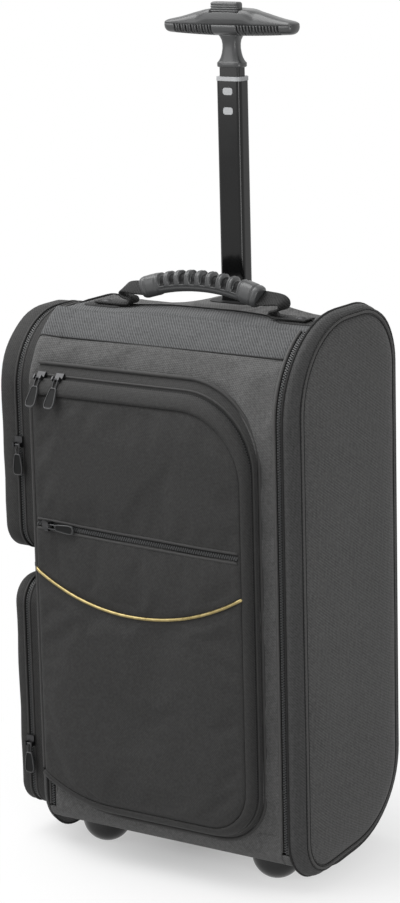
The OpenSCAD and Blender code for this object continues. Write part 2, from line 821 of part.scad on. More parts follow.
module grip_neck() color(moulded) centred() translate([0, pole_y, 0]) difference() {
    union() {
        intersection() {
            to_front(tube_d, 2 * tube_d) neck_profile(neck_foot[0], neck_waist[0]);
            along_x(-tube_w, tube_w) neck_profile(neck_foot[1], neck_waist[1]);
        }
        translate([0, 0, neck_z - spigot_len]) linear_extrude(spigot_len + socket_len)
            rounded_rect(upper_w - 2 * (tube_wall + bush_gap), upper_d - 2 * (tube_wall + bush_gap),
                upper_r - tube_wall);
    }
    translate([0, 0, neck_z - 1]) linear_extrude(socket_len + 1) difference() {
        rounded_rect(upper_w, upper_d, upper_r);
        rounded_rect(upper_w - 2 * (tube_wall + bush_gap), upper_d - 2 * (tube_wall + bush_gap),
            upper_r - tube_wall);
    }
    translate([0, 0, neck_z - spigot_len - 1]) cylinder(r = rod_r + rod_fit, h = spigot_len + neck_h + 2);
}

// Bar of the T grip: a long oval in front and from above, rounded along its length
module grip_bar() {
    r_face = (pow(grip_len / 2, 2) + pow(grip_taper, 2)) / (2 * grip_taper);
    r_plan = (pow(grip_len / 2, 2) + pow(grip_narrow, 2)) / (2 * grip_narrow);
    intersection() {
        to_front(pole_y + grip_d, 2 * grip_d) intersection() {
            translate([0, bar_top - r_face]) circle(r_face, $fn = 360);
            translate([0, bar_z + r_face]) circle(r_face, $fn = 360);
            translate([0, bar_mid]) rounded_rect(grip_len, grip_h, grip_end_r);
        }
        translate([0, pole_y, bar_z - 1]) linear_extrude(grip_h + 2) intersection() {
            translate([0, grip_d / 2 - r_plan]) circle(r_plan, $fn = 360);
            translate([0, r_plan - grip_d / 2]) circle(r_plan, $fn = 360);
            rounded_rect(grip_len, grip_d, grip_d / 2 - grip_narrow);
        }
        along_x(-grip_len / 2, grip_len / 2) translate([pole_y, bar_mid])
            rounded_rect(grip_d, grip_h, grip_edge_r);
    }
}

module button_well() {
    well_low = button_low - button_travel - plate_fit;
    translate([0, button_y, well_low]) linear_extrude(grip_h)
        rounded_rect(button_w + 2 * button_fit, button_d + 2 * button_fit, button_r + button_fit);
    translate([0, pole_y, well_low]) linear_extrude(button_travel + plate_t + 2 * plate_fit)
        rounded_rect(plate_w + 2 * plate_fit, plate_d + 2 * plate_fit, button_r + plate_fit);
    translate([0, pole_y, bar_z - 1]) cylinder(r = spring_r + spring_wire + spring_fit, h = grip_h / 2 + 1);
}

module grip_half(low) intersection() {
    difference() {
        grip_bar();
        button_well();
    }
    translate([-grip_len, 0, low ? bar_z - 1 : bar_mid]) cube([2 * grip_len, 2 * case_d, grip_h / 2 + 1]);
}

module grip_lower() color(moulded) centred() difference() {
    grip_half(true);
    both_sides() for (i = [0 : slot_count - 1])
        translate([slot_start + i * slot_pitch, pole_y - grip_d / 2 - 1, bar_z])
            cube([slot_w, 1 + slot_deep + i * slot_step, grip_h / 2 - slot_cover]);
}

module grip_upper() color(moulded) centred() grip_half(false);

module release_button() color(moulded) centred() {
    translate([0, button_y, button_low]) linear_extrude(bar_top + button_h - button_low)
        rounded_rect(button_w, button_d, button_r);
    translate([0, pole_y, button_low]) linear_extrude(plate_t) rounded_rect(plate_w, plate_d, button_r);
}

module push_rod() color(pale) centred() translate([0, pole_y, upper_top_z - upper_len + rod_low])
    cylinder(r = rod_r, h = button_low - upper_top_z + upper_len - rod_low);

// Wire swept along a helix, closed at both ends
function ring_point(c, t, k) = let (b = 360 * k / spring_sides)
    c + spring_wire * (cos(b) * [cos(t), sin(t), 0] + sin(b) * [0, 0, 1]);

module button_spring() color(pale) centred() translate([0, pole_y, 0]) {
    sides = spring_sides;
    steps = spring_steps * spring_turns;
    rise = spring_top - spring_low - 2 * spring_wire;
    points = [for (i = [0 : steps], k = [0 : sides - 1])
        let (t = 360 * spring_turns * i / steps, z = spring_low + spring_wire + rise * i / steps)
            ring_point([spring_r * cos(t), spring_r * sin(t), z], t, k)];
    walls = [for (i = [0 : steps - 1], k = [0 : sides - 1]) let (a = i * sides, b = (k + 1) % sides)
        each [[a + k, a + b, a + sides + b], [a + k, a + sides + b, a + sides + k]]];
    ends = [[for (k = [sides - 1 : -1 : 0]) k], [for (k = [0 : sides - 1]) steps * sides + k]];
    polyhedron(points, concat(walls, ends));
}

// Cross-section of the moulded carry grip, upright in the plane of its arc
module hand_section(inset = 0) rounded_rect(hand_h - 2 * inset, hand_d - 2 * inset, hand_corner - inset);

module hand_arc(from, to) translate([0, handle_y, hand_c]) rotate([90, 0, 0]) rotate(90 + from)
    rotate_extrude(angle = to - from, $fn = 180) translate([hand_r, 0]) children();

module hand_grip() color(moulded) centred() difference() {
    hand_arc(-hand_a, hand_a) hand_section();
    for (i = [0 : groove_count - 1]) {
        mid = (i - (groove_count - 1) / 2) * groove_pitch;
        hand_arc(mid - groove_w / 2, mid + groove_w / 2) difference() {
            translate([groove_from, -hand_d]) square([hand_h, 2 * hand_d]);
            hand_section(groove_deep);
        }
    }
    both_sides() along_x(hand_len / 2 - twist_in - soft_gap, hand_len)
        translate([handle_y, hand_end_z]) circle(twist_r + twist_fit);
}

// Half turn of webbing about a line across the case, opening towards +X or -X
module strap_fold(x, z, r, side) translate([x, handle_y, z]) rotate([90, 0, 0]) rotate(-90 * side)
    rotate_extrude(angle = 180) translate([r - strap_t / 2, -strap_w / 2]) square([strap_t, strap_w]);

module strap_run(x0, x1, z) translate([x0, handle_y - strap_w / 2, z - strap_t / 2])
    cube([x1 - x0, strap_w, strap_t]);

// Webbing at each end of the handle, from under the rivet to the twist inside the grip
module hand_straps() color(trim) centred() both_sides() union() {
    strap_run(fold_low_x, strap_tail, strap_z);
    strap_fold(fold_low_x, strap_z + fold_low_r, fold_low_r, -1);
    strap_run(fold_low_x, fold_high_x, strap_z + 2 * fold_low_r);
    strap_fold(fold_high_x, hand_end_z - fold_high_r, fold_high_r, 1);
    strap_run(hand_len / 2 + twist_gap, fold_high_x, hand_end_z);
    along_x(hand_len / 2 - twist_in, hand_len / 2 + 2 * twist_gap)
        translate([handle_y, hand_end_z]) circle(twist_r);
}

module tyre(side) along_x(side * wheel_x - wheel_w / 2, side * wheel_x + wheel_w / 2)
    translate([wheel_y, axle_z]) difference() {
        circle(wheel_r);
        circle(hub_r);
    }

module hub(side) translate([side * wheel_x, wheel_y, axle_z]) rotate([0, 90, 0]) difference() {
    cylinder(r = hub_r, h = wheel_w, center = true);
    cylinder(r = axle_r + axle_fit, h = wheel_w + 1, center = true);
    for (s = [-1, 1]) translate([0, 0, s * wheel_w / 2]) difference() {
        cylinder(r = hub_r - hub_rim, h = 2 * hub_recess, center = true);
        cylinder(r = axle_r + hub_boss, h = 2 * hub_recess + 1, center = true);
    }
}

module tyre_right() color(trim) centred() tyre(1);

module hub_right() color(moulded) centred() hub(1);

module tyre_left() color(trim) centred() tyre(-1);

module hub_left() color(moulded) centred() hub(-1);

// Zip slider standing on the plane y = 0, with two ears that hold the pull's pin
module slider() {
    translate([-slider_w / 2, -soft_gap - slider_t, -slider_h / 2]) cube([slider_w, slider_t, slider_h]);
    for (s = [-1, 1]) translate([s * (ear_x + ear_t / 2) - ear_t / 2,
        -soft_gap - slider_t - ear_h, -pin_drop - ear_w / 2]) cube([ear_t, ear_h, ear_w]);
    translate([0, -pin_out, -pin_drop]) rotate([0, 90, 0])
        cylinder(r = pin_r, h = 2 * ear_x, center = true);
}

// Pull hanging from the slider's pin, turned outwards by tilt
module pull(tilt, width) translate([0, -pin_out, -pin_drop]) rotate([-tilt, 0, 0]) difference() {
    union() {
        rotate([0, 90, 0]) cylinder(r = barrel_r, h = 2 * (ear_x - barrel_gap), center = true);
        translate([-ear_x + shank_gap, -pull_t / 2, -shank_len])
            cube([2 * (ear_x - shank_gap), pull_t, shank_len]);
        translate([-width / 2, -pull_t / 2, -pull_len + width / 2])
            cube([width, pull_t, pull_len - width / 2 - shank_len + 1]);
        translate([0, 0, -pull_len + width / 2]) rotate([90, 0, 0])
            cylinder(r = width / 2, h = pull_t, center = true);
    }
    rotate([0, 90, 0]) cylinder(r = pin_r + pin_fit, h = through, center = true);
    translate([0, 0, -pull_len + width / 2]) rotate([90, 0, 0])
        cylinder(r = width / 4, h = through, center = true);
}

module at_main() translate([-seam_x, -half_d, main_slider_z]) children();

module at_pocket(i) translate([pocket_slider_x[i], split_y, face_top + slant_top / 2])
    rotate([-90 + slope, 0, 0]) children();

module at_slip() translate([slip_slider_x, pocket_y - slip_t,
    slip_z - tan(slip_tilt) * (slip_slider_x - pocket_mid)]) rotate([0, -90, 0]) children();

module at_upper() translate([-half_w - upper_split, side_front, upper_slider_z]) children();

module at_lower() translate([-half_w - lower_split, side_front, lower_slider_z]) children();

module main_slider() color(enamel) centred() at_main() slider();

module main_pull() color(trim) centred() at_main() pull(0, main_pull_w);

module pocket_slider_a() color(enamel) centred() at_pocket(0) slider();

module pocket_pull_a() color(trim) centred() at_pocket(0) pull(pocket_pull_turn, pull_w);

module pocket_slider_b() color(enamel) centred() at_pocket(1) slider();

module pocket_pull_b() color(trim) centred() at_pocket(1) pull(pocket_pull_turn, pull_w);

module slip_slider() color(enamel) centred() at_slip() slider();

module slip_pull() color(trim) centred() at_slip() pull(0, pull_w);

module upper_slider() color(enamel) centred() at_upper() slider();

module upper_pull() color(trim) centred() at_upper() pull(0, pull_w);

module lower_slider() color(enamel) centred() at_lower() slider();

module lower_pull() color(trim) centred() at_lower() pull(0, pull_w);

side_panel_right();
side_panel_left();
side_piping_right();
side_piping_left();
body_shell();
base_board();
frame_sheet();
pole_housing();
pole_foot();
pole_collar();
handle_patches();
handle_rivets();
wheel_housings();
wheel_axles();
front_feet();
main_zip_case();
upper_pocket_base();
upper_pocket_zip();
lower_pocket_base();
lower_pocket_zip();
upper_pocket_cover();
lower_pocket_cover();
lid_panel();
main_zip_lid();
pocket_gusset();
pocket_zip();
pocket_face();
slip_pocket_zip();
gold_piping();
lower_tube();
tube_bush();
tube_shoe();
upper_tube();
grip_neck();
grip_lower();
grip_upper();
release_button();
push_rod();
button_spring();
hand_grip();
hand_straps();
tyre_right();
hub_right();
tyre_left();
hub_left();
main_slider();
main_pull();
pocket_slider_a();
pocket_pull_a();
pocket_slider_b();
pocket_pull_b();
slip_slider();
slip_pull();
upper_slider();
upper_pull();
lower_slider();
lower_pull();
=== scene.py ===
import bmesh
import bpy
import json
import math
from mathutils import Matrix, Vector, noise


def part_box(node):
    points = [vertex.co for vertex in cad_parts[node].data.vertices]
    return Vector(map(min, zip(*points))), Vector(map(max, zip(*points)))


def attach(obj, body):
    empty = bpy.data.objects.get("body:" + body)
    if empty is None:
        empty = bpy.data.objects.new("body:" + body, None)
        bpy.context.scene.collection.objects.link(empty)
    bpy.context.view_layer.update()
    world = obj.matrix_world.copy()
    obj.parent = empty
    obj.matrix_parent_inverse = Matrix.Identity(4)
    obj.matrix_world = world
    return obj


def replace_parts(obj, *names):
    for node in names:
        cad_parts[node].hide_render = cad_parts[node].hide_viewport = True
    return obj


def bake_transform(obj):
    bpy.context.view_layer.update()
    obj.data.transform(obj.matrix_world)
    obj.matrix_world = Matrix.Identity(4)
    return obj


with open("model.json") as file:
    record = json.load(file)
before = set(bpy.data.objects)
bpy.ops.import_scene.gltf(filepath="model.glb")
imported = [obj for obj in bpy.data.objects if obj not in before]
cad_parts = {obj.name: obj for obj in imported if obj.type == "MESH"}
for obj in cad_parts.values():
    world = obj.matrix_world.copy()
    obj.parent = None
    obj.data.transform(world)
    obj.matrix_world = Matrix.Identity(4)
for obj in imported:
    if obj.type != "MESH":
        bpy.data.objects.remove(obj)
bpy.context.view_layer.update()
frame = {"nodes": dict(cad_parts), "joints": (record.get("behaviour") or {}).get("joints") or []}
scene = bpy.context.scene
scene.view_settings.view_transform = "Standard"
mm = 0.001

# Everything below is written in millimetres from the middle of the case, standing on the floor
rightLow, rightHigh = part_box("side_panel_right")
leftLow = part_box("side_panel_left")[0]
middle = Vector(((rightHigh.x + leftLow.x) / 2, (rightLow.y + rightHigh.y) / 2, 0))


def place(x, y, z):
    return middle + Vector((x, y, z)) * mm


def span(node):                                   # a node's corners, in millimetres
    low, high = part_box(node)
    return (low - middle) / mm, (high - middle) / mm


panelLow, panelHigh = span("side_panel_right")
halfWidth, halfDepth, rimTop = panelHigh
bayX, rimLow = panelLow.x, panelLow.z
print("frame loaded")


# Camera

view = {"azimuth": 33.95, "elevation": 12.97, "roll": -1.42, "focalPixels": 2774, "distance": 2728,
        "aimRight": -11.25, "aimHeight": 405.4, "imageHeight": 903, "sensor": 36}


def makeCamera():
    az, el, roll = (math.radians(view[k]) for k in ("azimuth", "elevation", "roll"))
    back = Vector((math.sin(az) * math.cos(el), -math.cos(az) * math.cos(el), math.sin(el)))
    flat = Vector((math.cos(az), math.sin(az), 0))
    rise = back.cross(flat)
    right = flat * math.cos(roll) + rise * math.sin(roll)
    up = rise * math.cos(roll) - flat * math.sin(roll)
    eye = place(0, 0, view["aimHeight"]) + (flat * view["aimRight"] + back * view["distance"]) * mm
    data = bpy.data.cameras.new("camera")
    data.sensor_width = view["sensor"]
    data.lens = view["focalPixels"] * view["sensor"] / view["imageHeight"]
    data.clip_end = 100
    camera = bpy.data.objects.new("camera", data)
    scene.collection.objects.link(camera)
    turn = Matrix((right, up, back)).transposed().to_4x4()
    camera.matrix_world = Matrix.Translation(eye) @ turn
    scene.camera = camera


makeCamera()
print("camera set")


# Shader helpers: Flow is a socket that takes part in Python sums, Finish is one material

class Flow:
    def __init__(self, finish, socket):
        self.finish, self.socket = finish, socket

    def pick(self, output):                       # another output of the same node
        return Flow(self.finish, self.socket.node.outputs[output])

    def sum(self, operation, first, second=0.0):
        return self.finish.add("ShaderNodeMath", {"operation": operation}, {0: first, 1: second})

    def __add__(self, other):
        return self.sum("ADD", self, other)

    def __radd__(self, other):
        return self.sum("ADD", other, self)

    def __sub__(self, other):
        return self.sum("SUBTRACT", self, other)

    def __rsub__(self, other):
        return self.sum("SUBTRACT", other, self)

    def __mul__(self, other):
        return self.sum("MULTIPLY", self, other)

    def __rmul__(self, other):
        return self.sum("MULTIPLY", other, self)

    def sine(self):
        return self.sum("SINE", self)

    def root(self):
        return self.sum("SQRT", self)


class Finish:
    def __init__(self, owner, fixed, shader="Principled BSDF"):
        owner.use_nodes = True
        self.owner, self.tree = owner, owner.node_tree
        self.shader = self.tree.nodes[shader]
        self.feed(fixed)

    def plug(self, socket, value):
        if isinstance(value, Flow):
            self.tree.links.new(value.socket, socket)
        else:
            socket.default_value = value

    def feed(self, values):
        for name, value in values.items():
            self.plug(self.shader.inputs[name], value)

    def add(self, kind, settings=None, sockets=None, output=0):
        node = self.tree.nodes.new(kind)
        for name, value in (settings or {}).items():
            setattr(node, name, value)
        for name, value in (sockets or {}).items():
            self.plug(node.inputs[name], value)
        return Flow(self, node.outputs[output])

    def here(self):
        return self.add("ShaderNodeTexCoord", output="Object")

    def split(self, vector):
        parts = self.add("ShaderNodeSeparateXYZ", sockets={"Vector": vector})
        return parts.pick("X"), parts.pick("Y"), parts.pick("Z")

    def noise(self, vector, scale, detail=3.0):
        return self.add("ShaderNodeTexNoise", sockets={"Vector": vector, "Scale": scale, "Detail": detail})

    def mix(self, factor, first, second):
        sockets = {0: factor, 6: first, 7: second}
        return self.add("ShaderNodeMix", {"data_type": "RGBA"}, sockets, output=2)

    def bump(self, height, distance, strength=1.0):
        sockets = {"Height": height, "Distance": distance, "Strength": strength}
        return self.add("ShaderNodeBump", sockets=sockets)


def grey(level, warm=0.0):
    return (level * (1 + warm), level, level * (1 - warm), 1.0)


# Finishes

def newFinish(name, fixed):
    return Finish(bpy.data.materials.new(name), fixed)


weave = {"rise": 0.6, "acrossX": 0.65, "acrossY": 0.35, "cloudScale": 14.0, "slubScale": 380.0, "threadTone": 0.55,
         "cloudTone": 0.25, "slubTone": 0.5, "darken": 0.15, "uneven": 0.2, "slubRise": 0.6, "bump": 0.8,
         "sheenRough": 0.5, "gloss": 0.18}
clothLooks = {
    "caseCloth": {"dark": 0.008, "light": 0.176, "warm": 0.005, "pitch": 1.8, "twill": 0.30, "depth": 0.45,
                  "rough": 0.72, "sheen": 0.05},
    "archTwill": {"dark": 0.010, "light": 0.162, "warm": -0.02, "pitch": 1.9, "twill": 0.75, "depth": 0.45,
                  "rough": 0.66, "sheen": 0.06, "rise": 0.35},
    # rimClothPaintedShade is the case cloth made darker for the side pads' rim: painted shade where the rim turns away
    # from the light
    "rimClothPaintedShade": {"dark": 0.008, "light": 0.112, "warm": 0.0, "pitch": 1.8, "twill": 0.30, "depth": 0.40,
                 "rough": 0.72, "sheen": 0.04},
    "pocketCloth": {"dark": 0.010, "light": 0.064, "warm": 0.01, "pitch": 1.6, "twill": 0.35, "depth": 0.22,
                    "rough": 0.76, "sheen": 0.03},
    "pouchCloth": {"dark": 0.012, "light": 0.064, "warm": 0.01, "pitch": 1.8, "twill": 0.45, "depth": 0.25,
                   "rough": 0.76, "sheen": 0.03},
    # bindingCloth: dark binding, hem and seam cords, and also the painted shade in the side piping's creases
    "bindingCloth": {"dark": 0.008, "light": 0.020, "warm": 0.0, "pitch": 1.1, "twill": 0.60, "depth": 0.10,
                     "rough": 0.62, "sheen": 0.02},
    "edgeCloth": {"dark": 0.050, "light": 0.115, "warm": 0.01, "pitch": 1.2, "twill": 0.60, "depth": 0.12,
                  "rough": 0.58, "sheen": 0.05},
    "seamCloth": {"dark": 0.030, "light": 0.066, "warm": 0.01, "pitch": 1.2, "twill": 0.60, "depth": 0.12,
                  "rough": 0.62, "sheen": 0.04},
    "zipTape": {"dark": 0.008, "light": 0.018, "warm": 0.0, "pitch": 1.0, "twill": 0.20, "depth": 0.08,
                "rough": 0.74, "sheen": 0.02},
    "strapWebbing": {"dark": 0.008, "light": 0.034, "warm": 0.0, "pitch": 2.0, "twill": 0.70, "depth": 0.40,
                     "rough": 0.66, "sheen": 0.03},
}


def clothFinish(name, look):
    finish = newFinish(name, {"Sheen Weight": look["sheen"], "Sheen Roughness": weave["sheenRough"],
                              "Specular IOR Level": weave["gloss"]})
    here = finish.here()
    x, y, z = finish.split(here)
    turns = 2 * math.pi / (look["pitch"] * mm)
    across, up = x * weave["acrossX"] + y * weave["acrossY"], z * look.get("rise", weave["rise"])
    warp, weft = ((across + up) * turns).sine(), ((across - up) * turns).sine()
    twill = 0.5 * look["twill"]                   # the rest of the thread is plain weave
    thread = warp * twill + warp * weft * (0.5 - twill) + 0.5
    cloud = finish.noise(here, weave["cloudScale"])
    slub = finish.noise(here, weave["slubScale"], 2.0)
    tone = thread * weave["threadTone"] + cloud * weave["cloudTone"] + slub * weave["slubTone"] - weave["darken"]
    finish.feed({
        "Base Color": finish.mix(tone, grey(look["dark"], look["warm"]), grey(look["light"], look["warm"])),
        "Roughness": look["rough"] - weave["uneven"] / 2 + cloud * weave["uneven"],
        "Normal": finish.bump(thread + slub * weave["slubRise"], look["depth"] * mm, weave["bump"])})
    return finish.owner


moulded = {"wearScale": 22.0, "grainTone": 0.4, "wearTone": 0.6, "tint": -0.02, "uneven": 0.12, "bump": 0.6}
mouldingLooks = {
    "greyMoulding": {"dark": 0.044, "light": 0.072, "grain": 900, "depth": 0.03, "rough": 0.30, "gloss": 0.5},
    "gripMoulding": {"dark": 0.046, "light": 0.076, "grain": 900, "depth": 0.03, "rough": 0.32, "gloss": 0.5},
    # blackMoulding serves the black mouldings and also the painted shade in the grip's windows and the T bar's slots
    "blackMoulding": {"dark": 0.008, "light": 0.016, "grain": 700, "depth": 0.05, "rough": 0.55, "gloss": 0.15},
    "footGloss": {"dark": 0.008, "light": 0.014, "grain": 60, "depth": 0.02, "rough": 0.24, "gloss": 0.35},
    "tubeEnamel": {"dark": 0.003, "light": 0.007, "grain": 45, "depth": 0.01, "rough": 0.12, "gloss": 0.30},
    "paleMoulding": {"dark": 0.40, "light": 0.52, "grain": 500, "depth": 0.02, "rough": 0.38, "gloss": 0.4},
    "tyreRubber": {"dark": 0.010, "light": 0.022, "grain": 500, "depth": 0.06, "rough": 0.78, "gloss": 0.2},
    "hubMoulding": {"dark": 0.040, "light": 0.066, "grain": 600, "depth": 0.03, "rough": 0.5, "gloss": 0.3},
    "zipTooth": {"dark": 0.040, "light": 0.090, "grain": 800, "depth": 0.01, "rough": 0.36, "gloss": 0.4},
    "pullTab": {"dark": 0.006, "light": 0.014, "grain": 480, "depth": 0.06, "rough": 0.50, "gloss": 0.12},
    # pullRimPaintedHighlight is a lighter copy for the tab's rim: a painted highlight along its edges
    "pullRimPaintedHighlight": {"dark": 0.040, "light": 0.075, "grain": 480, "depth": 0.04, "rough": 0.40, "gloss": 0.4},
}


def mouldingFinish(name, look):
    finish = newFinish(name, {"Specular IOR Level": look["gloss"]})
    here = finish.here()
    grain = finish.noise(here, look["grain"], 2.0)
    wear = finish.noise(here, moulded["wearScale"], 4.0)
    tone = grain * moulded["grainTone"] + wear * moulded["wearTone"]
    finish.feed({
        "Base Color": finish.mix(tone, grey(look["dark"], moulded["tint"]), grey(look["light"], moulded["tint"])),
        "Roughness": look["rough"] - moulded["uneven"] / 2 + wear * moulded["uneven"],
        "Normal": finish.bump(grain, look["depth"] * mm, moulded["bump"])})
    return finish.owner


brushing = {"uneven": 0.16, "depth": 0.03, "bump": 0.4}
metalLooks = {
    "goldCord": {"dark": (0.12, 0.09, 0.03, 1), "light": (0.42, 0.34, 0.165, 1), "rough": 0.30, "grain": 190},
    "drawnAluminium": {"dark": (0.55, 0.55, 0.56, 1), "light": (0.72, 0.72, 0.73, 1), "rough": 0.34, "grain": 260},
    "plainSteel": {"dark": (0.42, 0.42, 0.43, 1), "light": (0.62, 0.62, 0.63, 1), "rough": 0.28, "grain": 300},
    "sliderEnamel": {"dark": (0.035, 0.035, 0.036, 1), "light": (0.075, 0.075, 0.077, 1), "rough": 0.42,
                     "grain": 200},
}


def metalFinish(name, look):
    finish = newFinish(name, {"Metallic": 1.0})
    brushed = finish.noise(finish.here(), look["grain"], 4.0)
    finish.feed({
        "Base Color": finish.mix(brushed, look["dark"], look["light"]),
        "Roughness": look["rough"] - brushing["uneven"] / 2 + brushed * brushing["uneven"],
        "Normal": finish.bump(brushed, brushing["depth"] * mm, brushing["bump"])})
    return finish.owner


boardLook = {"dark": (0.10, 0.085, 0.065, 1), "light": (0.19, 0.165, 0.13, 1), "rough": 0.82, "uneven": 0.2,
             "fibre": 240.0, "depth": 0.1, "bump": 0.6}


def boardFinish():
    finish = newFinish("fibreBoard", {})
    fibre = finish.noise(finish.here(), boardLook["fibre"], 6.0)
    finish.feed({
        "Base Color": finish.mix(fibre, boardLook["dark"], boardLook["light"]),
        "Roughness": boardLook["rough"] - boardLook["uneven"] / 2 + fibre * boardLook["uneven"],
        "Normal": finish.bump(fibre, boardLook["depth"] * mm, boardLook["bump"])})
    return finish.owner


looks = {name: clothFinish(name, look) for name, look in clothLooks.items()}
looks.update({name: mouldingFinish(name, look) for name, look in mouldingLooks.items()})
looks.update({name: metalFinish(name, look) for name, look in metalLooks.items()})
looks["fibreBoard"] = boardFinish()
print("finishes made")


# Mesh helpers

def makePiece(name, points, faces, finishes, body, marks=None):
    mesh = bpy.data.meshes.new(name)
    mesh.from_pydata([place(*p) for p in points], [], faces)
    for finish in finishes if isinstance(finishes, list) else [finishes]:
        mesh.materials.append(looks[finish])
    for i, polygon in enumerate(mesh.polygons):
        polygon.use_smooth = True
        if marks:
            polygon.material_index = marks[i]
    piece = bpy.data.objects.new(name, mesh)
    scene.collection.objects.link(piece)
    if body:
        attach(piece, body)
    return piece


def outward(piece):                               # makes a closed mesh's faces look out
    mesh = bmesh.new()
    mesh.from_mesh(piece.data)
    bmesh.ops.recalc_face_normals(mesh, faces=mesh.faces)
    mesh.to_mesh(piece.data)
    mesh.free()
    return piece


# closed rings of equal count, skinned and capped
def loft(name, rings, finishes, body, caps=("first", "last"), mark=None):
    count = len(rings[0])
    points = [p for ring in rings for p in ring]
    faces, marks = [], []
    for r in range(len(rings) - 1):
        for k in range(count):
            n = (k + 1) % count
            faces.append((r * count + k, r * count + n, (r + 1) * count + n, (r + 1) * count + k))
            marks.append(mark(r, k) if mark else 0)
    ends = {"first": tuple(range(count))[::-1], "last": tuple(range(len(points) - count, len(points)))}
    for end in caps:
        faces.append(ends[end])
        marks.append(0)
    return outward(makePiece(name, points, faces, finishes, body, marks))


def spread(name, rows, finishes, body, keep=None, rowMark=None):  # open grid of rows of points
    wide = len(rows[0])
    points = [p for row in rows for p in row]
    faces, marks = [], []
    for r in range(len(rows) - 1):
        for k in range(wide - 1):
            corners = (r * wide + k, r * wide + k + 1, (r + 1) * wide + k + 1, (r + 1) * wide + k)
            if keep and not keep([sum(points[c][i] for c in corners) / 4 for i in range(3)]):
                continue
            faces.append(corners)
            marks.append(rowMark(r) if rowMark else 0)
    return makePiece(name, points, faces, finishes, body, marks)


def thicken(piece, depth):                        # gives a sheet its body, inwards
    solid = piece.modifiers.new("body", "SOLIDIFY")
    solid.thickness = depth * mm
    solid.offset = -1
    return piece


def smoother(piece):
    divide = piece.modifiers.new("smooth", "SUBSURF")
    divide.levels = divide.render_levels = 1
    return piece


easeLook = {"segments": 2, "angle": 35}


def softEdges(piece, width):                      # eases the sharp edges of a moulded piece
    ease = piece.modifiers.new("edges", "BEVEL")
    ease.width = width * mm
    ease.segments = easeLook["segments"]
    ease.limit_method = "ANGLE"
    ease.angle_limit = math.radians(easeLook["angle"])
    return piece


def evenly(path, step, closed=False):             # points at equal steps along a path
    ends = path + [path[0]] if closed else path
    ends = [Vector(p) for p in ends]
    total = sum((b - a).length for a, b in zip(ends, ends[1:]))
    count = max(2, round(total / step))
    gap, out, run, goal = total / count, [], 0.0, 0.0
    for a, b in zip(ends, ends[1:]):
        length = (b - a).length
        while length > 0 and goal <= run + length + 1e-6 and len(out) < count + (0 if closed else 1):
            out.append(a.lerp(b, (goal - run) / length))
            goal += gap
        run += length
    return out


def frames(path, normals, closed=False):          # point, tangent, side and normal along a path
    out = []
    for i, p in enumerate(path):
        before = path[i - 1] if closed or i else p
        after = path[(i + 1) % len(path)] if closed or i + 1 < len(path) else p
        t = (Vector(after) - Vector(before)).normalized()
        n = Vector(normals[i] if isinstance(normals, list) else normals)
        n = (n - t * n.dot(t)).normalized()
        out.append((Vector(p), t, t.cross(n), n))
    return out


def sweep(name, path, section, normals, finish, body, closed=False):
    rings = [[tuple(p + s * a + n * b) for a, b in section] for p, t, s, n in frames(path, normals, closed)]
    if closed:
        return loft(name, rings + rings[:1], finish, body, caps=())
    return loft(name, rings, finish, body)


def roundSection(radius, sides=10, squash=1.0):
    return [(radius * math.cos(2 * math.pi * k / sides), squash * radius * math.sin(2 * math.pi * k / sides))
            for k in range(sides)]


def flatSection(width, thick, ease=0.5):          # a strip with eased edges
    w, t = width / 2, thick / 2
    return [(-w, -t + ease), (-w + ease, -t), (w - ease, -t), (w, -t + ease),
            (w, t - ease), (w - ease, t), (-w + ease, t), (-w, t - ease)]


blockTaper = 0.72                                 # top of a tooth or stitch, against its foot


def manyBlocks(name, spots, size, finish, body):  # small tapered blocks: zip teeth and stitches
    along, across, high = (v / 2 for v in size)
    points, faces = [], []
    for p, t, s, n in spots:
        base = len(points)
        for h, k in ((-high, 1.0), (high, blockTaper)):
            for a, c in ((-1, -1), (1, -1), (1, 1), (-1, 1)):
                points.append(tuple(p + t * (a * along * k) + s * (c * across * k) + n * h))
        faces.append(tuple(base + i for i in (3, 2, 1, 0)))
        faces.append(tuple(base + i for i in (4, 5, 6, 7)))
        for i in range(4):
            j = (i + 1) % 4
            faces.append((base + i, base + j, base + 4 + j, base + 4 + i))
    piece = outward(makePiece(name, points, faces, finish, body))
    for polygon in piece.data.polygons:
        polygon.use_smooth = False
    return piece


def offsets(spots, side, normal=0.0):             # moves frames sideways and along their normals
    return [(p + s * side + n * normal, t, s, n) for p, t, s, n in spots]


zipLook = {"pitch": 2.6, "tooth": (1.5, 2.3, 1.3), "reach": 0.9}


def zipTeeth(name, path, normals, bodies, closed=False):  # one row of teeth for each side of a zip
    step = zipLook["pitch"] / 2
    even = evenly(path, step, closed)
    if isinstance(normals, list):
        near = [min(range(len(path)), key=lambda i: (Vector(path[i]) - p).length_squared) for p in even]
        normals = [normals[i] for i in near]
    spots = frames(even, normals, closed)
    for k, body in enumerate(bodies):
        row = offsets(spots[k::2], zipLook["reach"] * (1 - 2 * k))
        manyBlocks(f"{name}_{'ab'[k]}", row, zipLook["tooth"], "zipTooth", body)


stitchLook = {"pitch": 4.2, "thread": (2.6, 0.55, 0.5)}


def stitchRow(name, path, normals, finish, body, closed=False):
    even = evenly(path, stitchLook["pitch"], closed)
    manyBlocks(name, frames(even, normals, closed), stitchLook["thread"], finish, body)


def between(start, end, share):                   # part of the way from start to end
    return start + (end - start) * share


def hump(value, middle, width):                   # a ridge that fades out on both sides of its middle
    return math.exp(-((value - middle) / width) ** 2)


def ripple(x, y, z, size, seed=0.0):              # smooth unevenness, from -1 to 1
    return noise.noise(Vector((x / size + seed, y / size, z / size)))


def smoothStep(value, low, high):
    t = max(0.0, min(1.0, (value - low) / (high - low)))
    return t * t * (3 - 2 * t)


def fadeOut(value, low, high):
    return 1 - smoothStep(value, low, high)


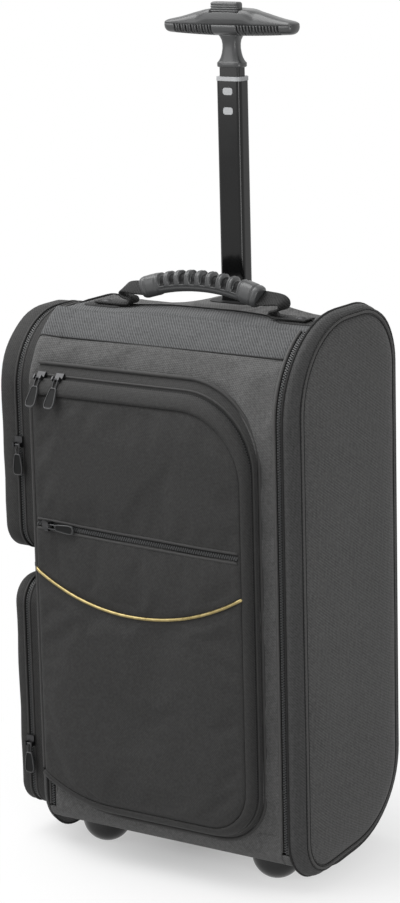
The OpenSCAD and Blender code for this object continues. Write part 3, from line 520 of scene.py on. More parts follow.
def edgeDrop(distance, radius):                   # how far a rounded edge falls away
    if distance >= radius:
        return 0.0
    return radius - math.sqrt(max(0.0, radius ** 2 - (radius - max(0.0, distance)) ** 2))


billowLook = {"frames": 16, "quality": 5, "mass": 0.3, "stretch": 18.0, "bend": 2.0}


def billow(piece, pinned, pressure, slack, cap):  # lets cloth between its seams swell and pucker
    seams = piece.vertex_groups.new(name="seams")
    seams.add(pinned, 1.0, "REPLACE")
    start = [v.co.copy() for v in piece.data.vertices]
    cloth = piece.modifiers.new("billow", "CLOTH")
    how = cloth.settings
    how.quality, how.mass = billowLook["quality"], billowLook["mass"]
    how.tension_stiffness = how.compression_stiffness = billowLook["stretch"]
    how.bending_stiffness = billowLook["bend"]
    how.vertex_group_mass = "seams"
    how.use_pressure = True
    how.uniform_pressure_force = pressure
    how.shrink_min = -slack
    how.effector_weights.gravity = 0
    cloth.point_cache.frame_end = billowLook["frames"]
    for step in range(1, billowLook["frames"] + 1):
        scene.frame_set(step)
    seen = piece.evaluated_get(bpy.context.evaluated_depsgraph_get())
    moved = [v.co.copy() for v in seen.data.vertices]
    piece.modifiers.remove(cloth)
    piece.vertex_groups.remove(seams)
    scene.frame_set(1)
    for v, a, b in zip(piece.data.vertices, start, moved):
        shift = b - a
        if shift.length > cap * mm:
            shift *= cap * mm / shift.length
        v.co = a + shift
    return piece


def sideLoop(corners, inset, arcSteps=14, sideSteps=12):  # outline seen from the side, as (y, z)
    def onArc(corner, degrees):
        cy, cz, r = corner
        a = math.radians(degrees)
        return cy + (r - inset) * math.cos(a), cz + (r - inset) * math.sin(a)

    loop = []
    for i, corner in enumerate(corners):
        loop += [onArc(corner, 180 - 90 * i - 90 * k / arcSteps) for k in range(arcSteps + 1)]
        (y0, z0), (y1, z1) = loop[-1], onArc(corners[(i + 1) % 4], 90 - 90 * i)
        loop += [(between(y0, y1, k / sideSteps), between(z0, z1, k / sideSteps)) for k in range(1, sideSteps)]
    return loop


def cornersOf(front, back, low, top, radii):      # radii: front top, back top, back low, front low
    a, b, c, d = radii
    return [(front + a, top - a, a), (back - b, top - b, b), (back - c, low + c, c), (front + d, low + d, d)]


def fillRings(loop, shares, spine):               # draws a loop in towards a spine (y, low z, high z)
    middleY, low, high = spine
    return [[(between(y, middleY, share), between(z, max(low, min(high, z)), share)) for y, z in loop]
            for share in shares]


# Padded sides: a bevelled rim painted darker than the case cloth as painted shade, a cord of piping between two
# stitched creases whose dark lines are painted shade, and a crowned field inside it

sides = ((1, "right"), (-1, "left"))
sidePad = {"radii": (97, 65, 90, 48), "slack": 0.6, "waveFrom": (3, 9), "waveSize": 52, "waveAt": 40,
           "leftSag": 13.0, "sagUp": (470, 558), "heelRise": 6.0, "heelAlong": (-70, 30), "heelUp": (12, 110),
           "leftFlat": 11.2, "leftField": 0.15,
           # rim: inset, share of the way in to the piping, height
           "edge": ((3.5, 0, 0.0), (1.0, 0, 0.3), (0.2, 0, 1.2), (0, 0, 2.6), (0.4, 0, 4.4), (0, 0.06, 5.9),
                    (0, 0.16, 7.4), (0, 0.30, 8.9), (0, 0.46, 10.1), (0, 0.62, 11.1), (0, 0.76, 11.8),
                    (0, 0.86, 11.6), (0, 0.93, 11.2), (0, 1, 11.0)),
           "creaseRings": 3,
           # field: share of the way in to the spine, height
           "field": ((0.02, 11.4), (0.05, 13.2), (0.1, 15.2), (0.17, 16.9), (0.26, 18.2), (0.38, 19.2),
                     (0.52, 19.8), (0.66, 20.1), (0.8, 20.3), (0.92, 20.4))}
# lines: name, inset, sink, radius, finish
pipingLook = {"front": 18, "edge": 7, "radii": (84.5, 58, 83, 35.5), "leftFoot": 33, "leftTop": 2, "stitchOut": 0.6,
              # the two crease lines are thin dark cords of painted shade in the grooves beside the piping cord
              "lines": (("cord", 0, 0.2, 1.6, "edgeCloth"), ("shaded_crease_out", -2.3, 0.2, 0.8, "bindingCloth"),
                        ("shaded_crease_in", 2.3, -0.4, 0.8, "bindingCloth"))}
rimCorners = cornersOf(-halfDepth, halfDepth, rimLow, rimTop, sidePad["radii"])
pipeCorners = cornersOf(-halfDepth + pipingLook["front"], halfDepth - pipingLook["edge"], rimLow + pipingLook["edge"],
                        rimTop - pipingLook["edge"], pipingLook["radii"])


def settled(side, y, z):                          # the left rim has sunk at its top, and the low edge rises to the back
    sunk = sidePad["leftSag"] * smoothStep(z, *sidePad["sagUp"]) if side < 0 else 0.0
    return z - sunk + sidePad["heelRise"] * smoothStep(y, *sidePad["heelAlong"]) * fadeOut(z, *sidePad["heelUp"])


def makeSide(name, side):
    spine = (0.0, rimLow + sidePad["radii"][2], rimTop - sidePad["radii"][0])
    piped = sideLoop(pipeCorners, 0)
    layers = []
    for inset, share, out in sidePad["edge"]:
        rim = sideLoop(rimCorners, inset)
        loop = [(between(y, py, share), between(z, pz, share)) for (y, z), (py, pz) in zip(rim, piped)]
        layers.append((loop, out))
    shares = [share for share, out in sidePad["field"]]
    for loop, (share, out) in zip(fillRings(piped, shares, spine), sidePad["field"]):
        layers.append((loop, out if side > 0 else between(sidePad["leftFlat"], out, sidePad["leftField"])))
    rings = []
    for loop, out in layers:
        slack, ring = smoothStep(out, *sidePad["waveFrom"]) * sidePad["slack"], []
        for y, z in loop:
            wave = slack * ripple(side * sidePad["waveAt"], y, z, sidePad["waveSize"])
            ring.append((side * (bayX + out + wave), y, settled(side, y, z)))
        rings.append(ring)
    # the rim rings take the darker rim cloth, painted shade
    paintedShadeRings = len(sidePad["edge"]) - sidePad["creaseRings"]
    piece = loft(name + "_pad", rings, ["caseCloth", "rimClothPaintedShade"], "case", mark=lambda r, k: int(r < paintedShadeRings))
    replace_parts(piece, name)


def sidePath(side, corners, inset, out):
    return [(side * out, y, settled(side, y, z)) for y, z in sideLoop(corners, inset)]


def makePiping(side, sideName):
    closed = side > 0
    paths = [sidePath(side, pipeCorners, inset, halfWidth - sink)
             for tag, inset, sink, radius, finish in pipingLook["lines"]]
    if not closed:                                # the left piping ends where the side pockets stand
        top = span("side_piping_left")[1].z - pipingLook["leftTop"] - sidePad["leftSag"]
        shown = [i for i, (x, y, z) in enumerate(paths[0]) if z < pipingLook["leftFoot"] or (y > 0 and z < top)]
        paths = [[path[i] for i in shown] for path in paths]
    for path, (tag, inset, sink, radius, finish) in zip(paths, pipingLook["lines"]):
        cord = sweep(f"side_piping_{sideName}_{tag}", path, roundSection(radius), (side, 0, 0), finish, "case", closed)
        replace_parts(cord, f"side_piping_{sideName}")
    return paths


bindingLook = {"radius": 1.2, "inset": -0.2, "out": 1.0}
hemLook = {"radius": 2.0, "inset": 2.0, "sink": 2.4, "bury": 4.0, "top": (34, 84), "low": (-56, -20), "under": 26,
           "middle": 300}


def hemPath(side):                                # up the back of the rim and under it, with both ends sunk in the pad
    path = sidePath(side, rimCorners, hemLook["inset"], halfWidth - hemLook["sink"])
    back = [p for p in path if p[1] > hemLook["top"][0] and p[2] > hemLook["under"]]
    low = [p for p in path if p[1] > hemLook["low"][0] and p[2] < hemLook["under"]]
    hem = []
    for x, y, z in back + low:
        upper = z > hemLook["middle"]
        bury = hemLook["bury"] * fadeOut(y, *hemLook["top" if upper else "low"])
        hem.append((x - side * bury, y, z - bury if upper else z + bury))
    return hem


for side, sideName in sides:
    makeSide(f"side_panel_{sideName}", side)
    pipes = makePiping(side, sideName)
    out = (side, 0, 0)
    edge = sidePath(side, rimCorners, bindingLook["inset"], bayX + bindingLook["out"])
    section = roundSection(bindingLook["radius"], 8)
    sweep(f"rim_binding_{sideName}", edge, section, out, "bindingCloth", "case", True)
    section = roundSection(hemLook["radius"], 8)
    sweep(f"rim_hem_{sideName}", hemPath(side), section, out, "bindingCloth", "case")
    if side > 0:
        for tag, path in zip(("out", "in"), pipes[1:]):
            row = [(x + pipingLook["stitchOut"], y, z) for x, y, z in path]
            stitchRow(f"side_stitches_{tag}", row, out, "edgeCloth", "case", True)
print("padded sides made")


# The top's cloth is drawn up at the handle, stands up round the pole's collar and sags beside the pole

topLook = {"from": (505, 540), "rise": 3.5, "riseAcross": (30, 100), "riseFront": (-80, -40), "riseBack": (-8, 30),
           "dip": 4.0, "dipFrom": (-4, 30), "backDip": 4.5, "backFrom": (42, 60), "dipTo": (72, 94),
           "dipAcross": (26, 92), "edge": (0, 18), "collar": 2.9, "collarY": 52, "collarHalf": (24, 19),
           "collarFade": (1, 26)}


def topLift(x, y):
    t, x = topLook, abs(x)
    rise = t["rise"] * fadeOut(x, *t["riseAcross"]) * smoothStep(y, *t["riseFront"]) * fadeOut(y, *t["riseBack"])
    beside = smoothStep(x, *t["dipAcross"]) * smoothStep(bayX - x, *t["edge"])
    dip = t["dip"] * smoothStep(y, *t["dipFrom"]) + t["backDip"] * smoothStep(y, *t["backFrom"])
    wide, deep = t["collarHalf"]
    away = math.hypot(max(0.0, x - wide), max(0.0, abs(y - t["collarY"]) - deep))
    return rise - dip * fadeOut(y, *t["dipTo"]) * beside + t["collar"] * fadeOut(away, *t["collarFade"])


def raisedAt(x, y, z):
    return topLift(x, y) * smoothStep(z, *topLook["from"])


# Lid: one sheet from the hinge, up the front and over the front arch

lidLook = {"corner": 97, "stepIn": 1.5, "hinge": 2.5, "thick": 4.4, "roll": 4.0, "arcRows": 34, "straightRows": 84,
           "columnStep": 5.0, "edgeColumns": (0.0, 0.4, 1.2, 2.6, 4.6), "seamCord": 0.9, "seamOut": 0.1,
           "pinned": {"side": 4, "foot": 2, "top": 3, "seam": 2},
           "billow": {"pressure": 1.2, "slack": 0.006, "cap": 3.0}}
lidCloth = {"seamHeight": 521, "seamDeep": 1.4, "seamWide": 1.7, "puff": 1.6, "puffFrom": (490, 512),
            "puffTo": (530, 545), "corner": 2.4, "cornerAcross": (40, 110), "cornerFrom": (440, 480),
            "cornerTo": (508, 520), "cornerSize": 17, "uneven": 0.5, "unevenSize": 55}
lidLow, lidHigh = span("lid_panel")
lidX, faceY, topZ = lidHigh.x, lidLow.y, lidHigh.z
hingeZ = lidLow.z + lidLook["hinge"]
archY, archZ = -halfDepth + lidLook["corner"], rimTop - lidLook["corner"]
archR = lidLook["corner"] - lidLook["stepIn"]


# (y, z, normal y, normal z) up the lid, sunk by drop
def lidLine(drop=0.0, straightRows=lidLook["straightRows"], arcRows=lidLook["arcRows"]):
    line = [(faceY + drop, between(hingeZ, archZ, k / straightRows), -1.0, 0.0) for k in range(straightRows)]
    last = math.asin((topZ - archZ) / archR)
    for k in range(arcRows + 1):
        a = math.pi - last * k / arcRows
        ny, nz = math.cos(a), math.sin(a)
        line.append((archY + (archR - drop) * ny, archZ + (archR - drop) * nz, ny, nz))
    return line


def spreadX(half, step):                          # columns across, closer together at the edges
    left = [-half + c for c in lidLook["edgeColumns"]]
    inner = -left[-1]
    count = round(2 * inner / step)
    return left + [between(-inner, inner, k / count) for k in range(1, count)] + [-x for x in reversed(left)]


def lidLift(x, y, z):                             # padding and creases of the lid's cloth
    c = lidCloth
    lift = -c["seamDeep"] * hump(z, c["seamHeight"], c["seamWide"])
    lift += c["puff"] * (1 - (x / lidX) ** 2) * smoothStep(z, *c["puffFrom"]) * fadeOut(z, *c["puffTo"])
    corner = smoothStep(abs(x), *c["cornerAcross"]) * smoothStep(z, *c["cornerFrom"]) * fadeOut(z, *c["cornerTo"])
    slanted = ripple(x * 0.5 - z * 0.6, 0, z * 0.3 + x * 0.4, c["cornerSize"])
    return lift + c["corner"] * corner * slanted + c["uneven"] * ripple(x, y, z, c["unevenSize"])


def nearSeam(heights):
    return min(range(len(heights)), key=lambda r: abs(heights[r] - lidCloth["seamHeight"]))


def makeLid():
    line = lidLine()
    columns = spreadX(lidX, lidLook["columnStep"])
    rows = []
    for y, z, ny, nz in line:
        row = []
        for x in columns:
            lift = lidLift(x, y, z) - edgeDrop(lidX - abs(x), lidLook["roll"])
            row.append((x, y + ny * lift, z + nz * lift + raisedAt(x, y, z)))
        rows.append(row)
    seamRow = nearSeam([z for y, z, ny, nz in line])
    piece = spread("lid_sheet", rows, ["caseCloth", "archTwill"], "lid", rowMark=lambda r: int(r >= seamRow))
    high, wide, pinned = len(rows), len(columns), lidLook["pinned"]
    fixed = [r * wide + k for r in range(high) for k in range(wide)
             if min(k, wide - 1 - k) < pinned["side"] or r < pinned["foot"] or r >= high - pinned["top"]
             or abs(r - seamRow) < pinned["seam"]]
    billow(piece, fixed, **lidLook["billow"])
    thicken(piece, lidLook["thick"])
    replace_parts(piece, "lid_panel")
    y, z, ny, nz = line[seamRow]
    out, section = lidLook["seamOut"], roundSection(lidLook["seamCord"], 6)
    seam = [(x, y + ny * out, z + nz * out) for x in columns[3:-3]]
    sweep("lid_seam_cord", seam, section, (0, ny, nz), "bindingCloth", "lid")


# a cord up the lid's or the bay's edge, at x and sunk by drop
def makeEdgeWelt(name, x, drop, radius, sideCount, body):
    line = lidLine(drop, 60, 24)
    path, normals = [(x, y, z) for y, z, ny, nz in line], [(0, ny, nz) for y, z, ny, nz in line]
    return sweep(name, path, roundSection(radius, sideCount), normals, "edgeCloth", body)


makeLid()
for side, sideName in sides:
    makeEdgeWelt(f"lid_welt_{sideName}", side * (lidX - 1.2), 1.1, 1.7, 10, "lid")

flapLook = {"from": 456, "thick": 1.2, "settle": (-3, 1), "seamCord": 0.8,
            # distance from the middle, height above the lid
            "columns": ((122.0, -0.5), (124.0, 0.3), (127.0, 0.7), (130.5, 1.1), (134.5, 1.6), (138.5, 2.2),
                        (142.0, 2.6), (145.0, 2.6), (147.2, 1.8), (149.2, 0.2), (150.8, -2.4), (151.8, -4.8))}


def makeLidFlap():                                # covers the zip and the rim at the top left of the lid
    rows = []
    for y, z, ny, nz in lidLine():
        if z < flapLook["from"]:
            continue
        row = []
        for x, lift in flapLook["columns"]:
            lift += lidLift(-x, y, z) * smoothStep(lift, *flapLook["settle"])
            row.append((-x, y + ny * lift, z + nz * lift + raisedAt(-x, y, z)))
        rows.append(row[::-1])
    seamRow = nearSeam([row[-1][2] for row in rows])
    piece = spread("lid_flap_left", rows, ["caseCloth", "archTwill"], "lid", rowMark=lambda r: int(r >= seamRow))
    thicken(piece, flapLook["thick"])
    seam, section = [(x, y - 0.2, z + 0.1) for x, y, z in rows[seamRow]], roundSection(flapLook["seamCord"], 6)
    sweep("lid_flap_seam", seam, section, (0, -0.8, 0.6), "bindingCloth", "lid")


makeLidFlap()
print("lid made")


# Main zip: on each side a tape on the lid, a tape on the case and two rows of teeth

mainZip = {"gap": 0.3, "tapeDrop": 2.2, "toothDrop": 1.2, "thick": 1.0, "apart": 0.2, "lap": 0.6}
tapeHigh = span("main_zip_lid")[1]
seamX = tapeHigh.x + mainZip["gap"]
tapeLine = lidLine(mainZip["tapeDrop"], 70, 30)
toothLine = lidLine(mainZip["toothDrop"], 120, 40)


def tapeRows(side, near, far):
    return [[(side * x, y, z) for x in ((near, far) if side > 0 else (far, near))] for y, z, ny, nz in tapeLine]


for side, sideName in sides:
    for half, body, near, far in (("lid", "lid", lidX - mainZip["lap"], seamX - mainZip["apart"]),
                                  ("case", "case", seamX + mainZip["apart"], bayX + mainZip["lap"])):
        tape = spread(f"main_tape_{half}_{sideName}", tapeRows(side, near, far), "zipTape", body)
        thicken(tape, mainZip["thick"])
        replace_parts(tape, f"main_zip_{half}")
    path = [(side * seamX, y, z) for y, z, ny, nz in toothLine]
    normals = [(0, ny, nz) for y, z, ny, nz in toothLine]
    bodies = ("lid", "case") if side < 0 else ("case", "lid")
    zipTeeth(f"main_teeth_{sideName}", path, normals, bodies)
    makeEdgeWelt(f"main_rim_welt_{sideName}", side * (bayX - 0.7), 0.6, 1.0, 8, "case")
print("main zip made")


# Body shell: top, back, heel, underside and lip in one sheet

shellLook = {"backArch": 65, "heel": 90, "lip": 17, "thick": 1.6, "floor": 27, "seam": -2.0, "seamCord": 1.0,
             "seamOut": 0.3, "gap": 0.3, "poleGap": 1.6, "uneven": 0.5, "unevenSize": 60, "unevenFrom": (0, 12),
             "sinkFrom": 126, "sinkBack": (42, 60), "poleCut": 20, "frontRows": 7}
poleLow, poleHigh = span("lower_tube")
wellLow, wellHigh = span("wheel_housings")
wheelLow, wheelHigh = span("tyre_right")
wellX = (wheelLow.x + wheelHigh.x) / 2
wellHalf = wellHigh.x - wellX + shellLook["gap"]
wellFront, wellTop = wellLow.y - shellLook["gap"], wellHigh.z + shellLook["gap"]
holeX = poleHigh.x + shellLook["poleGap"]
holeFront, holeBack = poleLow.y - shellLook["poleGap"], poleHigh.y + shellLook["poleGap"]
lidEndY = archY - math.sqrt(archR ** 2 - (topZ - archZ) ** 2)


def arcPart(cy, cz, r, first, last, count):
    part = []
    for k in range(count + 1):
        a = math.radians(first + (last - first) * k / count)
        part.append((cy + r * math.cos(a), cz + r * math.sin(a), math.cos(a), math.sin(a)))
    return part


def straightPart(start, end, count, normal):
    return [(between(start[0], end[0], k / count), between(start[1], end[1], k / count), *normal)
            for k in range(count + 1)]


def shellLine():                                  # (y, z, normal y, normal z) from the lid over the top and round
    back, flat, lip = halfDepth - lidLook["stepIn"], shellLook["floor"], shellLook["lip"]
    archC = (halfDepth - shellLook["backArch"], rimTop - shellLook["backArch"])
    r = shellLook["backArch"] - lidLook["stepIn"]
    heelC = (halfDepth - shellLook["heel"], rimLow + shellLook["heel"])
    hr = shellLook["heel"] - lidLook["stepIn"]
    lipC = (faceY + lip, flat + lip)
    topA = math.degrees(math.asin((topZ - archC[1]) / r))
    lowA = math.degrees(math.asin((flat - heelC[1]) / hr))
    wellA = math.degrees(math.asin((wellTop - heelC[1]) / hr))
    topEnd = archC[0] + r * math.cos(math.radians(topA))
    lowEnd = heelC[0] + hr * math.cos(math.radians(lowA))
    stops = (lidEndY + shellLook["gap"], shellLook["seam"], holeFront, holeBack, topEnd)
    counts = (shellLook["frontRows"], 6, 4, 2)
    parts = [straightPart((a, topZ), (b, topZ), count, (0, 1)) for a, b, count in zip(stops, stops[1:], counts)]
    parts += [arcPart(*archC, r, topA, 0, 14), straightPart((back, archC[1]), (back, heelC[1]), 50, (1, 0)),
              arcPart(*heelC, hr, 0, wellA, 6), arcPart(*heelC, hr, wellA, lowA, 6),
              straightPart((lowEnd, flat), (wellFront, flat), 3, (0, -1)),
              straightPart((wellFront, flat), (lipC[0], flat), 16, (0, -1)), arcPart(*lipC, lip, -90, -172, 8)]
    return parts[0] + [point for part in parts[1:] for point in part[1:]]


def inHole(x, y, z):                              # the wheel wells and the pole's hole stay open
    inWell = abs(abs(x) - wellX) < wellHalf and y > wellFront and z < wellTop
    return inWell or (abs(x) < holeX and z > topZ - shellLook["poleCut"] and holeFront < y < holeBack)


def makeShell():
    half = [0.0, 9.0, holeX, 22, 27, 34, 42, 54, 66, 78, 88, wellX - wellHalf, 104, wellX, 120, wellX + wellHalf, 135,
            bayX - 2.5, bayX]
    columns = [-x for x in reversed(half[1:])] + half
    rows = []
    for y, z, ny, nz in shellLine():
        row = []
        for x in columns:
            lift = shellLook["uneven"] * ripple(x, y, z, shellLook["unevenSize"], 4.0)
            lift *= smoothStep(bayX - abs(x), *shellLook["unevenFrom"])
            raised = raisedAt(x, y, z)
            if x < 0:                             # the left edge follows the sunken rim round the back
                sink = smoothStep(-x, shellLook["sinkFrom"], bayX) * smoothStep(y, *shellLook["sinkBack"])
                raised += (settled(-1, y, z) - settled(1, y, z)) * sink
            row.append((x, y + ny * lift, z + nz * lift + raised))
        rows.append(row)
    piece = spread("body_sheet", rows, ["archTwill", "caseCloth"], "case", lambda c: not inHole(*c),
                   lambda r: int(r >= shellLook["frontRows"]))
    thicken(piece, shellLook["thick"])
    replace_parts(piece, "body_shell")
    y, section = shellLook["seam"], roundSection(shellLook["seamCord"], 8)
    seam = [(x, y, topZ + topLift(x, y) + shellLook["seamOut"]) for x in columns[2:-2]]
    sweep("top_seam", seam, section, (0, 0, 1), "bindingCloth", "case")


makeShell()

foldLook = {"low": 30, "high": 60, "turnLow": 40, "turnHigh": 49, "proud": 0.7, "tuck": 0.98, "tuckFrom": 5,
            "thick": 1.0, "rows": 16, "columnStep": 12.0, "sideGap": 0.4}


def makeLidFold():                                # cloth over the lid's foot, in one shape; the real cloth folds as the lid drops
    high, rows = foldLook["high"], []
    columns = spreadX(lidX - foldLook["sideGap"], foldLook["columnStep"])
    for k in range(foldLook["rows"] + 1):
        z = between(foldLook["low"], high, k / foldLook["rows"])
        y = faceY - foldLook["proud"] + edgeDrop(z - shellLook["floor"], shellLook["lip"])
        y += foldLook["tuck"] * smoothStep(z, high - foldLook["tuckFrom"], high)
        rows.append([(x, y, z) for x in columns])
    piece = thicken(spread("lid_fold", rows, "caseCloth", None), foldLook["thick"])
    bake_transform(piece)


makeLidFold()
print("shell made")


# Front pocket

pocket = {"left": -132.5, "right": 111, "top": 475, "low": 62, "rTop": 70, "rLow": 45, "run": 84, "rise": 25,
          "slantSide": 6, "slantTop": 24, "slantLow": 14, "thick": 3.6, "slipZ": 341, "slipTilt": 1.7, "slipHalf": 116,
          "goldLow": 265, "goldCurve": 232, "goldHalf": 121}
faceLow, faceHigh = span("pocket_face")
pocketY, splitY = faceLow.y, faceHigh.y + 0.3
pocketMid = (pocket["left"] + pocket["right"]) / 2


def pocketShape(out):                             # the gusset's outline at a share of its slant
    side = pocket["slantSide"] * out
    return {"left": pocket["left"], "right": pocket["right"] + side, "top": pocket["top"] + pocket["slantTop"] * out,
            "low": pocket["low"] - pocket["slantLow"] * out, "rTop": pocket["rTop"] + side,
            "rLow": pocket["rLow"] + side, "run": pocket["run"], "rise": pocket["rise"]}


def sweepRadius(run, rise):                       # of the low left corner's long curve
    return (run ** 2 + rise ** 2) / (2 * rise)


def runOf(start, end, count):                     # a straight stretch of (x, z), without its end
    return [(between(start[0], end[0], k / count), between(start[1], end[1], k / count)) for k in range(count)]


def bendOf(cx, cz, r, first, last, count):        # a round stretch of (x, z), without its end
    turns = [math.radians(between(first, last, k / count)) for k in range(count)]
    return [(cx + r * math.cos(a), cz + r * math.sin(a)) for a in turns]


openFrom = 40                                     # the loop's first points run up the hinged left side


def pocketLoop(out, grow=0.0):                    # closed outline as (x, z), from the low left, up and round
    s = pocketShape(out)
    left, right, top, low = s["left"] - grow, s["right"] + grow, s["top"] + grow, s["low"] - grow
    rTop, rLow, run, rise = s["rTop"] + grow, s["rLow"] + grow, s["run"] + grow, s["rise"]
    sweepR = sweepRadius(run, rise)
    sweepA = math.degrees(math.asin(run / sweepR))
    loop = runOf((left, low + rise), (left, top), openFrom)
    loop += runOf((left, top), (right - rTop, top), 20)
    loop += bendOf(right - rTop, top - rTop, rTop, 90, 0, 18)
    loop += runOf((right, top - rTop), (right, low + rLow), 30)
    loop += bendOf(right - rLow, low + rLow, rLow, 0, -90, 14)
    loop += runOf((right - rLow, low), (left + run, low), 10)
    return loop + bendOf(left + run, low + sweepR, sweepR, -90, -90 - sweepA, 14)


def pocketRing(out, y, grow=0.0):
    return [(x, y, z) for x, z in pocketLoop(out, grow)]


def zipped(ring):                                 # only its zipped top, right and bottom
    return ring[openFrom:] + ring[:1]


def pocketPath(out, y, grow=0.0):
    return zipped(pocketRing(out, y, grow))


def ringOut(path):                                # directions away from the pocket's middle
    middleZ = (pocket["low"] + pocket["top"]) / 2
    return [Vector((x - pocketMid, 0, z - middleZ)).normalized() for x, y, z in path]


def faceSide(z):                                  # the face's left and right ends at a height
    s = pocket
    left, right = s["left"], s["right"]
    if z < s["low"] + s["rise"]:
        sweepR = sweepRadius(s["run"], s["rise"])
        left += s["run"] - math.sqrt(max(0.0, sweepR ** 2 - (z - s["low"] - sweepR) ** 2))
    if z > s["top"] - s["rTop"]:
        right -= s["rTop"] - math.sqrt(max(0.0, s["rTop"] ** 2 - (z - s["top"] + s["rTop"]) ** 2))
    if z < s["low"] + s["rLow"]:
        right -= s["rLow"] - math.sqrt(max(0.0, s["rLow"] ** 2 - (z - s["low"] - s["rLow"]) ** 2))
    return left, right


def faceInset(x, z):                              # distance in from the face's outline
    s = pocket
    near = [x - s["left"], s["top"] - z, z - s["low"], s["right"] - x]
    if x > s["right"] - s["rTop"] and z > s["top"] - s["rTop"]:
        near.append(s["rTop"] - math.hypot(x - s["right"] + s["rTop"], z - s["top"] + s["rTop"]))
    if x > s["right"] - s["rLow"] and z < s["low"] + s["rLow"]:
        near.append(s["rLow"] - math.hypot(x - s["right"] + s["rLow"], z - s["low"] - s["rLow"]))
    sweepR = sweepRadius(s["run"], s["rise"])
    if x < s["left"] + s["run"] and z < s["low"] + sweepR:
        near.append(sweepR - math.hypot(x - s["left"] - s["run"], z - s["low"] - sweepR))
    return max(0.0, min(near))


def slipHeight(x):
    return pocket["slipZ"] - math.tan(math.radians(pocket["slipTilt"])) * (x - pocketMid)


def goldHeight(x):
    return pocket["goldLow"] + pocket["goldCurve"] - math.sqrt(pocket["goldCurve"] ** 2 - (x - pocketMid) ** 2)


faceCloth = {"edgeRound": 7.0, "edgeDeep": 0.8, "crown": 2.4, "crownIn": (0, 60), "slipStep": 1.5, "stepIn": (0, 5),
             "stepBelow": (5.5, 3.5), "slipDip": 1.1, "slipWide": 3.0, "slipIn": (3, 12), "seamOff": 2.6,
             "seamDeep": 1.0, "seamWide": 1.6, "seamIn": (2, 8), "puff": 0.9, "puffBelow": 14, "puffWide": 10,
             "puffIn": (2, 20), "uneven": 0.6, "unevenSize": 58, "unevenIn": (4, 30)}


def faceDepth(x, z):                              # the face's front surface
    c, inset = faceCloth, faceInset(x, z)
    slip, gold = slipHeight(x), goldHeight(x)
    seams = sum(hump(z, gold + off, c["seamWide"]) for off in (c["seamOff"], -c["seamOff"]))
    y = pocketY + edgeDrop(inset, c["edgeRound"]) * c["edgeDeep"]
    y -= c["crown"] * smoothStep(inset, *c["crownIn"])
    y -= c["slipStep"] * fadeOut(z, *(slip - b for b in c["stepBelow"])) * smoothStep(inset, *c["stepIn"])
    y += c["slipDip"] * hump(z, slip, c["slipWide"]) * smoothStep(inset, *c["slipIn"])
    y += c["seamDeep"] * seams * smoothStep(inset, *c["seamIn"])
    y -= c["puff"] * hump(z, gold - c["puffBelow"], c["puffWide"]) * smoothStep(inset, *c["puffIn"])
    y -= c["uneven"] * ripple(x, 0, z, c["unevenSize"], 7.0) * smoothStep(inset, *c["unevenIn"])
    return y


faceGrid = {"rows": 150, "columns": 76, "closerRows": 0.012, "closerColumns": 0.02,
            "pinned": {"edge": 7, "slip": 7, "gold": 5}, "billow": {"pressure": 1.0, "slack": 0.008, "cap": 3.5}}


def closer(count, amount):                        # shares from 0 to 1, closer together at the ends
    return [k / count - amount * math.sin(2 * math.pi * k / count) for k in range(count + 1)]


def makePocketFace():
    rows = []
    for up in closer(faceGrid["rows"], faceGrid["closerRows"]):
        z = between(pocket["low"], pocket["top"], up)
        xs = [between(*faceSide(z), across) for across in closer(faceGrid["columns"], faceGrid["closerColumns"])]
        rows.append([(x, faceDepth(x, z), z) for x in xs])
    piece = spread("pocket_face_sheet", rows, "pocketCloth", "pocket_flap")
    pinned = faceGrid["pinned"]
    fixed = [i for i, (x, y, z) in enumerate(p for row in rows for p in row)
             if faceInset(x, z) < pinned["edge"] or abs(z - slipHeight(x)) < pinned["slip"]
             or abs(z - goldHeight(x)) < pinned["gold"]]
    billow(piece, fixed, **faceGrid["billow"])
    thicken(piece, pocket["thick"])
    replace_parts(piece, "pocket_face")


makePocketFace()

# rings of the gusset: share of its slant, depth, growth
gussetLook = {"case": ((1.0, faceY + 2.0, 1.2), (1.0, faceY - 0.4, 1.4), (0.93, faceY - 2.2, 0.2),
                       (0.8, faceY - 4.4, 0.6), (0.66, faceY - 7.2, 0.7), (0.58, splitY + 2.9, 0.3),
                       (0.57, splitY + 2.3, -1.4)),
              "face": ((0.43, splitY - 2.3, -1.4), (0.42, splitY - 2.9, 0.3), (0.3, splitY - 5.0, 0.7),
                       (0.14, splitY - 7.6, 0.5), (0.03, pocketY + 2.2, 0.0), (0.0, pocketY + 1.4, -2.4)),
              "thick": 2.6, "skirtThick": 2.4, "wallThick": 1.6}
gussetRings = [pocketRing(*ring) for ring in gussetLook["case"]]
skirtRings = [pocketRing(*ring) for ring in gussetLook["face"]]
gusset = thicken(loft("pocket_gusset_sheet", gussetRings, "pocketCloth", "lid", caps=()), gussetLook["thick"])
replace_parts(gusset, "pocket_gusset")
skirtRows = [zipped(ring) for ring in skirtRings]
skirt = thicken(spread("pocket_face_skirt", skirtRows, "pocketCloth", "pocket_flap"), gussetLook["skirtThick"])
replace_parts(skirt, "pocket_face")
wallRows = [ring[:openFrom + 1] for ring in gussetRings[-2:-1] + skirtRings[1:-1]]
wall = thicken(spread("pocket_left_wall", wallRows, "pocketCloth", "lid"), gussetLook["wallThick"])
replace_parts(wall, "pocket_gusset")

hingeCord = {"radius": 1.7, "in": 0.9, "deep": 1.7, "foot": 4, "head": 2, "step": 8}
cordFoot, cordHead = int(pocket["low"] + pocket["rise"]) + hingeCord["foot"], int(pocket["top"]) - hingeCord["head"]
foldPath = [(pocket["left"] + hingeCord["in"], pocketY + hingeCord["deep"], z)
            for z in range(cordFoot, cordHead, hingeCord["step"])]
fold = sweep("pocket_fold", foldPath, roundSection(hingeCord["radius"], 10), (0, -1, 0), "seamCloth", None)
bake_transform(fold)

